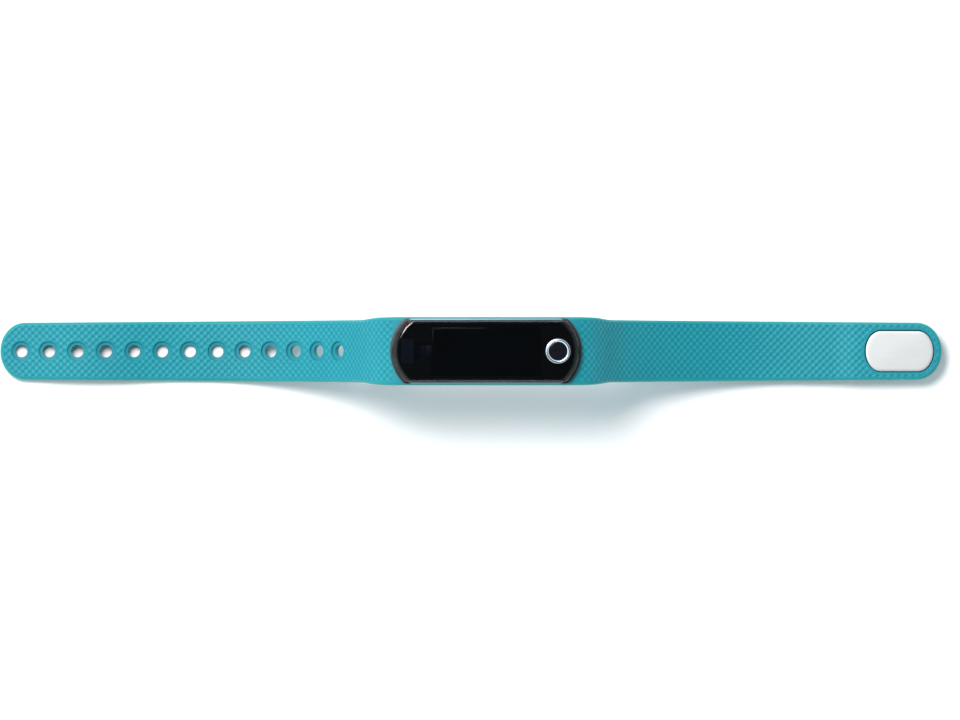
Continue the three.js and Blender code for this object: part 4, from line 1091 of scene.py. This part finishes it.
def side_strips():
    """Polished strips let into the flange."""
    for i in range(2):
        low, high = TRIM.low.z, TRIM.high.z
        rings = []
        for inset, z in softened([(0.5, low, 0), (0, low, 0.1), (0, high, 0.16), (0.5, high, 0)])[1:-1]:
            shape = [(x * (1 - inset / 19), y) for x, y in trim_outline(0)]
            inner, outer = shape[0][1], shape[2][1]
            rings.append([(x, inner + inset if y == inner else outer - inset, z) for x, y in shape])
        mesh = lofted(rings)
        if i:
            half_turn(mesh)
        outfitted(f"polished_strip_{i + 1}", mesh, "bright_trim", f"side_trim_{i + 1}")


def lens_ring(share, z):
    """One ring of the lens: share 0 at its edge, 1 where its top is flat."""
    half_width = POD_HALF_WIDTH - LENS_INSET - LENS_BEVEL_SIDE * share
    return at_height(pod_outline(LENS_INSET + LENS_BEVEL_END * share, half_width, 0.9 - 0.35 * share), z)


def cover_lens():
    """Smoked lens that curves over at each end, with the button's hole."""
    edge_top = LENS.low.z + LENS_EDGE_HEIGHT
    top = LENS.high.z
    profile = [(0.03, LENS.low.z), (0, LENS.low.z + 0.06)]
    for turn in np.linspace(0, pi / 2, 13).tolist():
        profile.append((1 - cos(turn), edge_top + (top - edge_top) * sin(turn)))
    shell = lofted([lens_ring(share, z) for share, z in profile])
    hole_radius = RING.size.x / 2 + BUTTON_GAP
    hole = turned(softened([
        (0, LENS.low.z - 1, 0), (hole_radius, LENS.low.z - 1, 0), (hole_radius, top - 0.3, 0.1),
        (hole_radius + BUTTON_GAP, top + 0.02, 0.05), (hole_radius + BUTTON_GAP + 0.3, top + 1, 0),
        (0, top + 1, 0),
    ]), 96)
    lens = carved(shell, moved(hole, RING.middle.x))
    outfitted("pod_lens", lens, "smoked_lens", "cover_lens", sharp=25)


def home_button():
    """A plated ring round a dished glossy cap, on a flange that holds it in."""
    low, top = RING.low.z, RING.high.z
    outer = RING.size.x / 2
    inner = outer - RING_WALL
    ring = turned(softened([
        (inner, low, 0.05), (outer, low, 0.05), (outer, top - 0.06, 0.3), (inner + 0.3, top, 0.2),
        (inner, top - 0.22, 0.2),
    ], closed=True, steps=6), 128)
    outfitted("button_bright_ring", moved(ring, RING.middle.x), "chrome", "button_ring", body="button")
    cap = Span("button_cap")
    flange_top = Span("button_seal").low.z - 0.02
    cap_top = cap.high.z
    dish = [(inner * 0.86 * share, cap_top - 0.02 + 0.02 * share ** 2) for share in (0, 0.25, 0.5, 0.75, 1)]
    profile = dish + softened([
        (inner - 0.3, cap_top, 0), (inner - 0.08, cap_top, 0.12), (inner - 0.08, low - 0.02, 0.02),
        (outer - 0.05, low - 0.02, 0.05), (outer - 0.05, flange_top, 0.05), (outer + 0.45, flange_top, 0.08),
        (outer + 0.45, flange_top - 0.5, 0.08), (1.0, flange_top - 0.5, 0.2), (1.0, cap.low.z, 0.15),
        (0, cap.low.z, 0),
    ])
    outfitted("button_glossy_cap", moved(turned(profile, 96), RING.middle.x), "black_plastic", "button_cap",
              body="button", finish="button_gloss")
    seal = Span("button_seal")
    lip = turned(softened([
        (outer + 0.05, seal.low.z, 0.05), (seal.size.x / 2, seal.low.z, 0.08),
        (seal.size.x / 2, seal.high.z, 0.08), (outer + 0.05, seal.high.z, 0.05),
    ], closed=True), 96)
    outfitted("button_seal_ring", moved(lip, RING.middle.x), "black_rubber", "button_seal", body="button")


def back_cover():
    """The wrist side: a shallow dished plate with the sensor's window and the contacts' holes."""
    low = COVER.low.z
    plate_top = low + COVER_THICKNESS
    plate = stacked(pod_outline, softened([
        (BODY_INSET + 2.5, low, 0), (BODY_INSET + 0.55, low, 0.5), (BODY_INSET, low + 0.5, 0.4),
        (BODY_INSET, plate_top, 0.05), (BODY_INSET + 0.6, plate_top, 0),
    ]))
    screw = Span("carrier_screw_1")
    posts = []
    for side in (-1, 1):
        post = turned(softened([
            (0, plate_top - 0.3, 0), (1.5, plate_top - 0.3, 0), (1.5, plate_top, 0.05),
            (1.1, plate_top + 0.4, 0.3), (1.1, COVER.high.z, 0.1), (0, COVER.high.z, 0),
        ]), 40)
        posts.append(moved(post, screw.middle.x, side * abs(screw.middle.y)))
    shell = carved(plate, *posts, operation="UNION")
    cuts = []
    for side in (-1, 1):
        pilot = rod(SCREW_HOLE_RADIUS, plate_top, COVER.high.z + 1, 24)
        cuts.append(moved(pilot, screw.middle.x, side * abs(screw.middle.y)))
        contact = Span("charging_contact_2")
        well = turned(softened([
            (0, low - 1, 0), (1.3, low - 1, 0), (CONTACT_HOLE_RADIUS, low + 0.12, 0.1),
            (CONTACT_HOLE_RADIUS, plate_top + 1, 0), (0, plate_top + 1, 0),
        ]), 40)
        cuts.append(moved(well, contact.middle.x, side * contact.middle.y))
    cuts.append(moved(rod(WINDOW_HOLE_RADIUS, low - 1, plate_top + 1, 80), WINDOW.middle.x))
    outfitted("pod_back_cover", carved(shell, *cuts), "black_plastic", "back_cover")


def sensor_window():
    """A domed dark window with a flange behind the cover."""
    low, high = WINDOW.low.z, WINDOW.high.z
    flange = high - 0.13
    dome = [(2.8 * share, low + 0.06 * share ** 2) for share in (0, 0.3, 0.6, 0.85, 1)]
    profile = dome + softened([
        (2.9, low + 0.08, 0), (WINDOW_RADIUS, COVER.low.z, 0.2), (WINDOW_RADIUS, flange, 0.03),
        (WINDOW_FLANGE_RADIUS, flange, 0.04), (WINDOW_FLANGE_RADIUS, high, 0.04), (0, high, 0),
    ])
    window = moved(turned(profile, 96), WINDOW.middle.x)
    outfitted("sensor_dark_window", window, "smoked_lens", "sensor_window")


def charging_contacts():
    """Gold pins, dished where they meet the dock."""
    for i in (1, 2):
        span = Span(f"charging_contact_{i}")
        low, high = span.low.z, span.high.z
        flange = COVER.low.z + COVER_THICKNESS + 0.05
        profile = [(0, low + 0.08), (0.3, low + 0.05)] + softened([
            (0.5, low, 0), (CONTACT_RADIUS, low, 0.15), (CONTACT_RADIUS, flange, 0.03), (1.12, flange, 0.05),
            (1.12, flange + 0.3, 0.05), (0.4, flange + 0.3, 0.1), (0.4, high, 0.12), (0, high, 0),
        ])
        pin = moved(turned(profile, 48), span.middle.x, span.middle.y)
        outfitted(f"dock_contact_{i}", pin, "gold", f"charging_contact_{i}")


# ---- What is inside the pod ----
def swept(path, section):
    """A solid along a path in X and Z, from a section of (out, across) points."""
    rings = []
    for i, spot in enumerate(path):
        along = (path[min(i + 1, len(path) - 1)] - path[max(i - 1, 0)]).normalized()
        rings.append([(spot.x - along.y * out, y, spot.y + along.x * out) for out, y in section])
    return lofted(rings)


def rounded_plate(low, high, corner, ease=0.04):
    """A thin plate with rounded corners and eased edges."""
    rings = []
    for inset, z in ((ease, low.z), (0, low.z + ease), (0, high.z - ease), (ease, high.z)):
        corners = [(low.x + inset, low.y + inset), (high.x - inset, low.y + inset),
                   (high.x - inset, high.y - inset), (low.x + inset, high.y - inset)]
        outline = softened([(x, y, corner - inset) for x, y in corners], closed=True)
        rings.append(at_height(outline, z))
    return lofted(rings)


def chip(name, node, pads_along, pads_across, below=False):
    """A moulded package with a dot by its first lead, standing on rows of solder pads."""
    span = Span(node)
    foot = 0.1
    inset = Vector((0.12, 0.12, 0))
    low = span.low + inset + Vector((0, 0, 0 if below else foot))
    high = span.high - inset - Vector((0, 0, foot if below else 0))
    face, inward = (low.z, 1) if below else (high.z, -1)
    dot = [(0, 0.04 * inward), (0.14, 0.04 * inward), (0.18, -0.1 * inward), (0, -0.1 * inward)]
    package = carved(brick(low, high, 0.05), moved(turned(dot, 24), low.x + 0.32, high.y - 0.32, face))
    outfitted(name, package, "chip", node)
    pad = brick((-0.09, -0.09, 0), (0.09, 0.09, foot), 0.02, 1)
    pads = rows_of(pad, "metal_can", pads_along, pads_across, (span.size.x - 0.2) / (pads_along - 1),
                   (span.size.y - 0.2) / (pads_across - 1))
    moved(pads, span.middle.x, span.middle.y, high.z if below else span.low.z)
    outfitted(name + "_pads", pads, "metal_can", node)


def board_with_parts():
    """The main board, its drilled screw holes, and the small parts on its top side."""
    low, top = BOARD.low.z, BOARD.high.z
    wall = POD_HALF_LENGTH - BOARD.size.x / 2
    edges = [(0.05, low), (0, low + 0.05), (0, top - 0.05), (0.05, top)]
    board = stacked(pod_outline, [(wall + ease, z) for ease, z in edges])
    screw = Span("carrier_screw_1").middle
    drills = [moved(rod(SCREW_HOLE_RADIUS, low - 1, top + 1), screw.x, side * abs(screw.y))
              for side in (-1, 1)]
    outfitted("main_circuit_board", carved(board, *drills), "board", "main_board")

    body = brick((-0.3, -0.25, 0), (0.3, 0.25, 0.4), 0.03, 1)
    cap_end = brick((0.3, -0.27, 0), (0.45, 0.27, 0.43), 0.03, 1)
    other_end = brick((-0.45, -0.27, 0), (-0.3, 0.27, 0.43), 0.03, 1)
    for label, x, y, along, across in (("left", -8.5, 4.0, 6, 2), ("middle", -1.0, -4.2, 5, 2),
                                       ("right", 12.6, 3.6, 3, 2)):
        for name, part, slot, finish in (("bodies", body, "chip", "ceramic"),
                                         ("ends", joined(cap_end, other_end), "metal_can", None)):
            row = moved(rows_of(part, slot, along, across, 1.3, 0.95), x, y, top)
            outfitted(f"capacitor_{name}_{label}", row, slot, "main_board", finish=finish)
    disc = turned(softened([(0, 0, 0), (0.32, 0, 0), (0.32, 0.03, 0.02), (0, 0.03, 0)]), 20)
    test_pads = moved(rows_of(disc, "gold", 7, 1, 1.1), -8.5, -4.6, top)
    outfitted("gold_test_pads", test_pads, "gold", "main_board")
    lid = rounded_plate(Vector((-11.5, -2.6, top + 0.04)), Vector((-4.5, 2.0, top + 0.62)), 0.5, 0.12)
    rim = rounded_plate(Vector((-11.6, -2.7, top)), Vector((-4.4, 2.1, top + 0.18)), 0.5, 0.03)
    outfitted("radio_shield_can", carved(lid, rim, operation="UNION"), "metal_can", "main_board")


def board_chips():
    chip("processor_package", "processor_chip", 9, 9, below=True)
    chip("memory_package", "memory_chip", 5, 4, below=True)
    chip("motion_sensor_package", "motion_sensor_chip", 4, 4)
    chip("display_driver_socket", "display_connector", 2, 10)
    span = Span("radio_crystal")
    base = brick(span.low, (span.high.x, span.high.y, span.low.z + 0.12), 0.03)
    lid = brick(span.low + Vector((0.1, 0.1, 0.1)), span.high - Vector((0.1, 0.1, 0)), 0.08, 3)
    outfitted("crystal_can", carved(base, lid, operation="UNION"), "metal_can", "radio_crystal")


def carrier_screws():
    """Cross-head screws with rolled threads."""
    for i in (1, 2):
        span = Span(f"carrier_screw_{i}")
        tip, top = span.low.z, span.high.z
        thread = []
        for turn in range(9):
            thread += [(0.37, tip + 0.3 + 0.25 * turn), (0.45, tip + 0.42 + 0.25 * turn)]
        head = softened([(0.4, top - 0.45, 0), (0.75, top - 0.45, 0.05), (0.75, top, 0.2), (0, top, 0)])
        blank = turned([(0, tip), (0.2, tip), *thread, *head], 32)
        slots = [brick((-x, -y, top - 0.22), (x, y, top + 0.5), 0.02, 1)
                 for x, y in ((0.5, 0.09), (0.09, 0.5))]
        screw = moved(carved(blank, *slots), span.middle.x, span.middle.y)
        outfitted(f"carrier_cross_screw_{i}", screw, "metal_can", f"carrier_screw_{i}",
                  finish="blackened_steel")


def display_stack():
    """Two sheets of glass on a glue line, the polariser on top, and the ribbon down to its socket."""
    low, high = PANEL.low, PANEL.high
    seam = low.z + 0.6
    glue = Vector((0.15, 0.15, 0))
    lower = brick(low, (high.x, high.y, seam - 0.02), 0.05)
    upper = brick((low.x, low.y, seam + 0.02), high, 0.05)
    glue_low = Vector((low.x, low.y, seam - 0.06)) + glue
    glue_high = Vector((high.x, high.y, seam + 0.06)) - glue
    stack = carved(lower, brick(glue_low, glue_high, 0.01, 1), upper, operation="UNION")
    outfitted("display_glass_sheets", stack, "display", "display_panel")
    top = Span("display_polariser")
    outfitted("display_polariser_film", rounded_plate(top.low, top.high, 0.3), "display", "display_polariser")
    path = softened([(-13.52, 4.61, 0), (-14.95, 4.61, 0.45), (-15.2, 3.39, 0.45), (-15.88, 3.39, 0)],
                    steps=8)
    ribbon = swept(path, [(-0.05, -1.46), (-0.03, -1.5), (0.03, -1.5), (0.05, -1.46),
                          (0.05, 1.46), (0.03, 1.5), (-0.03, 1.5), (-0.05, 1.46)])
    outfitted("display_flat_ribbon", ribbon, "ribbon", "display_ribbon", finish="film")


def antenna_film():
    """Printed film on the carrier with a loop of track standing on it."""
    span = Span("antenna")
    outfitted("antenna_printed_film", rounded_plate(span.low, span.high, 0.4), "ribbon", "antenna",
              finish="film")
    low = Vector((span.low.x + 0.3, span.low.y + 0.3, span.high.z - 0.01))
    high = Vector((span.high.x - 0.3, span.high.y - 0.3, span.high.z + 0.02))
    width = 0.35
    inner = prism([(low.x + width, low.y + width), (high.x - width, low.y + width),
                   (high.x - width, high.y - width), (low.x + width, high.y - width)], low.z - 1, high.z + 1)
    loop = carved(rounded_plate(low, high, 0.3, 0.008), inner)
    outfitted("antenna_track_loop", loop, "ribbon", "antenna", finish="film_track")


def battery_pack():
    """A foil pouch with a welded seam, a protection board on its end and two soldered leads."""
    low, high = CELL.low, CELL.high
    middle = (low.z + high.z) / 2
    length = CELL.size.x - 1.5
    corner = 1.1
    centre = low.x + length / 2
    rings = []
    for share in (0, 0.2, 0.45, 0.7, 0.86):
        rings.append((0.35 + 1.2 * (1 - sqrt(1 - share ** 2)), share * (high.z - middle) / 0.86))
    levels = [(inset, -z) for inset, z in rings[:0:-1]] + rings
    pouch = lofted([
        at_height(capsule(length - 2 * inset, CELL.size.y - 2 * inset, corner - min(inset, 0.6)), middle + z)
        for inset, z in levels
    ])
    seam = lofted([at_height(capsule(length - 2 * inset, CELL.size.y - 2 * inset, corner), middle + z)
                   for inset, z in ((0.04, -0.06), (0, -0.02), (0, 0.02), (0.04, 0.06))])
    outfitted("battery_foil_pouch", moved(carved(pouch, seam, operation="UNION"), centre), "battery_pouch",
              "battery")
    guard = rounded_plate(Vector((low.x + length - 0.3, -3.6, middle - 0.45)),
                          Vector((high.x, 3.6, middle + 0.2)), 0.25)
    outfitted("battery_guard_board", guard, "board", "battery")
    for name, finish in (("plus", "red_wire"), ("minus", "black_wire")):
        span = Span(f"battery_lead_{name}")
        radius = span.size.y / 2
        start_z = span.low.z + radius
        end_x = span.high.x - radius
        path = softened([(span.low.x, start_z, 0), (end_x, start_z, 0.45), (end_x, span.high.z, 0)], steps=10)
        lead = moved(swept(path, circle(radius, 16)), 0, span.middle.y)
        outfitted(f"battery_{name}_wire", lead, finish, f"battery_lead_{name}")


def buzzer():
    """The motor's rolled can, and its shaft and half-round weight on their own body."""
    lie_down = Matrix.Rotation(-pi / 2, 4, "X")
    span = Span("vibration_motor")
    radius = span.size.x / 2
    end = span.size.y
    can = turned(softened([
        (0, 0, 0), (0.8, 0, 0.05), (0.85, 0.2, 0.05), (radius, 0.2, 0.2), (radius, 0.9, 0.03),
        (radius - 0.08, 0.96, 0.03), (radius - 0.08, 1.08, 0.03), (radius, 1.14, 0.03),
        (radius, end - 0.15, 0.15), (0.7, end - 0.15, 0.05), (0.62, end, 0.05), (0.38, end, 0.03),
        (0.38, end - 2, 0.05), (0, end - 2, 0),
    ]), 64)
    axis = (span.middle.x, span.low.y, span.middle.z)
    outfitted("vibration_motor_can", moved(can, *axis, turn=lie_down), "metal_can", "vibration_motor")
    spindle = Span("motor_shaft")
    shaft = turned(softened([
        (0, 0, 0), (0.3, 0, 0.06), (0.3, spindle.size.y, 0.06), (0, spindle.size.y, 0),
    ]), 32)
    moved(shaft, axis[0], spindle.low.y, axis[2], turn=lie_down)
    outfitted("motor_steel_shaft", shaft, "steel", "motor_shaft", body="rotor")
    load = Span("vibration_weight")
    bob = turned(softened([
        (0.32, 0, 0.03), (load.size.x / 2, 0, 0.12), (load.size.x / 2, load.size.y, 0.12),
        (0.32, load.size.y, 0.03),
    ], closed=True), 64)
    off = brick((-2, -2, -1), (2, -0.65, 4), 0.02, 1)
    bob = moved(carved(bob, off), axis[0], load.low.y, axis[2], turn=lie_down)
    outfitted("vibration_half_weight", bob, "steel", "vibration_weight", body="rotor")


def heart_sensor():
    """A small board behind the window with two lamps and a light cell, and its ribbon."""
    span = Span("sensor_board")
    outfitted("sensor_circuit_board", rounded_plate(span.low, span.high, 0.8, 0.05), "board", "sensor_board")
    for i in (1, 2):
        lamp = Span(f"sensor_led_{i}")
        case = brick((lamp.low.x, lamp.low.y, lamp.low.z + 0.12), lamp.high, 0.04)
        dome = [(0.38 * sin(turn), -0.16 * cos(turn)) for turn in (0, 0.4, 0.8, 1.2, pi / 2)]
        bulb = turned(dome + [(0.38, 0.1), (0, 0.1)], 32)
        moved(bulb, lamp.middle.x, lamp.middle.y, lamp.low.z + 0.16)
        outfitted(f"green_lamp_{i}", carved(case, bulb, operation="UNION"), "led", f"sensor_led_{i}")
    cell = Span("sensor_photodiode")
    well = brick(cell.low + Vector((0.3, 0.3, -0.5)),
                 (cell.high.x - 0.3, cell.high.y - 0.3, cell.low.z + 0.08), 0.03, 1)
    outfitted("light_cell_case", carved(brick(cell.low, cell.high, 0.05), well), "chip", "sensor_photodiode")
    glass = brick(cell.low + Vector((0.34, 0.34, 0.03)),
                  (cell.high.x - 0.34, cell.high.y - 0.34, cell.low.z + 0.07), 0.01, 1)
    outfitted("light_cell_window", glass, "display", "sensor_photodiode")
    path = softened([(10.72, -0.06, 0), (12.15, -0.06, 0.4), (12.15, 2.11, 0.4), (11.12, 2.11, 0)], steps=8)
    ribbon = swept(path, [(-0.05, -0.78), (0, -0.8), (0.05, -0.78), (0.05, 0.78), (0, 0.8), (-0.05, 0.78)])
    outfitted("sensor_flat_ribbon", ribbon, "ribbon", "sensor_ribbon")


def button_works():
    """The switch under the button: a moulded base in a pressed frame, and its snap dome."""
    span = Span("button_switch")
    base = brick(span.low + Vector((0.1, 0.1, 0)), span.high - Vector((0.1, 0.1, 0.12)), 0.08)
    outfitted("switch_moulded_base", base, "chip", "button_switch")
    shell = rounded_plate(Vector((span.low.x, span.low.y, span.high.z - 0.1)), span.high, 0.35, 0.03)
    mouth = rod(1.45, span.low.z, span.high.z + 1, 48)
    frame_plate = carved(shell, moved(mouth, span.middle.x, span.middle.y))
    outfitted("switch_pressed_frame", frame_plate, "metal_can", "button_switch")
    snap = Span("switch_dome")
    rise = snap.size.z
    curve = [(snap.size.x / 2 * share, snap.low.z + 0.04 + (rise - 0.04) * (1 - share * share) ** 1.3)
             for share in (0, 0.15, 0.3, 0.45, 0.6, 0.75, 0.9, 1)]
    dome = turned(curve + [(snap.size.x / 2, snap.low.z), (0, snap.low.z)], 48)
    outfitted("switch_snap_dome", moved(dome, snap.middle.x), "metal_can", "switch_dome")


# ---- Clasp ----
def clasp_plate():
    """A satin plate with a slight crown and an eased edge."""
    low, top = PLATE.low.z, PLATE.high.z
    edge = top - 0.06
    rings = []
    for inset, z in softened([(0.3, low, 0), (0, low, 0.05), (0, edge, 0.16), (0.6, edge + 0.02, 0)])[1:]:
        outline = capsule(PLATE.size.x - 2 * inset, PLATE.size.y - 2 * inset, PLATE_CAP - inset, 32)
        rings.append(at_height(outline, z))
    for share in (0.75, 0.5, 0.28, 0.1):
        outline = capsule(PLATE.size.x * share, PLATE.size.y * share, PLATE_CAP * share, 32)
        rings.append(at_height(outline, edge + 0.06 * (1 - share ** 2)))
    mesh = moved(lofted(rings), PLATE.middle.x)
    outfitted("clasp_cover_plate", mesh, "steel", "clasp_plate", body=CLASP.bodies[-1])


def clasp_pegs():
    """Turned pegs with mushroom heads, and the strip that backs them."""
    body = CLASP.bodies[-1]
    back = Span("clasp_backing_strip")
    low, high = back.low.z, back.high.z
    profile = softened([(0.3, low, 0), (0, low, 0.12), (0, high, 0.04), (0.3, high, 0)])[1:-1]
    strip_mesh = bar(back.size, back.size.y / 2, profile, 32)
    holes = []
    for i in (1, 2):
        span = Span(f"clasp_peg_{i}")
        low, high = span.low.z, span.high.z
        profile = softened([
            (0, low, 0), (1.1, low, 0.5), (1.95, low + 0.5, 0.2), (1.9, low + 0.78, 0.1),
            (1.35, low + 0.95, 0.15), (1.35, low + 2.5, 0.1), (1.9, low + 2.52, 0.05),
            (1.9, low + 2.86, 0.05), (0.9, low + 2.88, 0.03), (0.9, high, 0.08), (0, high, 0),
        ])
        peg = moved(turned(profile, 64), span.middle.x, span.middle.y)
        outfitted(f"clasp_turned_peg_{i}", peg, "steel", f"clasp_peg_{i}", body=body)
        holes.append(moved(rod(0.98, low, high, 40), span.middle.x - back.middle.x))
    mesh = moved(carved(strip_mesh, *holes), back.middle.x)
    outfitted("clasp_back_strip", mesh, "steel", "clasp_backing_strip", body=body)


# ---- Ground, light and camera ----
def ground():
    reach = 3.0
    points = [(-reach, -reach, 0), (reach, -reach, 0), (reach, reach, 0), (-reach, reach, 0)]
    mesh = bpy.data.meshes.new("ground")
    mesh.from_pydata(points, [], [(0, 1, 2, 3)])
    paper = grained((0.90, 0.905, 0.91), (0.93, 0.932, 0.935), (0.8, 0.1), 700, 4)
    mesh.materials.append(finish_of("pale paper", paper))
    thing(mesh, "ground")


def area_light(name, at, target, size, power, tint=(1, 1, 1)):
    lamp = bpy.data.lights.new(name, "AREA")
    lamp.shape = "SQUARE"
    lamp.size = size
    lamp.energy = power
    lamp.color = tint
    obj = thing(lamp, name)
    obj.location = at
    obj.rotation_euler = (Vector(target) - Vector(at)).to_track_quat("-Z", "Y").to_euler()


def studio_light():
    area_light("key", (-0.30, 0.41, 1.0), (0, 0, 0), 0.45, 13.9, (1.0, 0.94, 0.93))
    world = bpy.data.worlds.new("studio")
    bpy.context.scene.world = world
    world.use_nodes = True
    world.node_tree.nodes.clear()
    wire = Wire(world.node_tree)
    up = wire.node("ShaderNodeTexCoord", None, None, "Generated")
    stops = {"stops": [(0.0, colour(0.86, 0.99, 1.03)), (0.5, colour(1.00, 1.15, 1.20)),
                       (0.66, colour(0.50, 0.58, 0.60)), (0.82, colour(0.12, 0.14, 0.15)),
                       (0.96, colour(0.02, 0.022, 0.024))]}
    sky = wire.node("ShaderNodeValToRGB", stops, {"Fac": axis_of(up, "Z")})
    brighter_left = 1.25 - axis_of(up, "X") * 0.45
    background = wire.node("ShaderNodeBackground", None, {"Color": sky, "Strength": brighter_left})
    wire.node("ShaderNodeOutputWorld", None, {"Surface": background})


def camera_above():
    """Straight above, far enough away to see the band almost without perspective."""
    low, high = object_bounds()
    view_width = 0.2393  # metres
    distance = 4.0
    camera = bpy.data.cameras.new("camera")
    camera.sensor_width = 36
    camera.lens = camera.sensor_width * distance / view_width
    obj = thing(camera, "camera")
    middle = (Vector(low) + Vector(high)) / 2
    aside = Vector((2.3, -2.2)) * MM  # the view's middle, from the band's
    obj.location = (middle.x + aside.x, middle.y + aside.y, distance)
    bpy.context.scene.camera = obj


KEPT_NODES = {"lens_gasket": "black_rubber", "case_seal": "black_rubber", "display_carrier": "black_plastic"}


def refinish_frame():
    for name, slot in KEPT_NODES.items():
        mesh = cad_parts[name].data
        mesh.materials.clear()
        mesh.materials.append(FINISHES[slot])


bpy.context.scene.view_settings.view_transform = "Standard"
camera_above()
ground()
studio_light()
band_curve = band_line()
cradle_piece(band_curve)
tail_pieces(PUNCHED, "punched_strip", band_curve)
tail_pieces(CLASP, "clasp_strip", band_curve)
bpy.data.objects.remove(band_curve)
pod_case()
side_strips()
cover_lens()
home_button()
back_cover()
sensor_window()
charging_contacts()
board_with_parts()
board_chips()
carrier_screws()
display_stack()
antenna_film()
battery_pack()
buzzer()
heart_sensor()
button_works()
clasp_plate()
clasp_pegs()
refinish_frame()
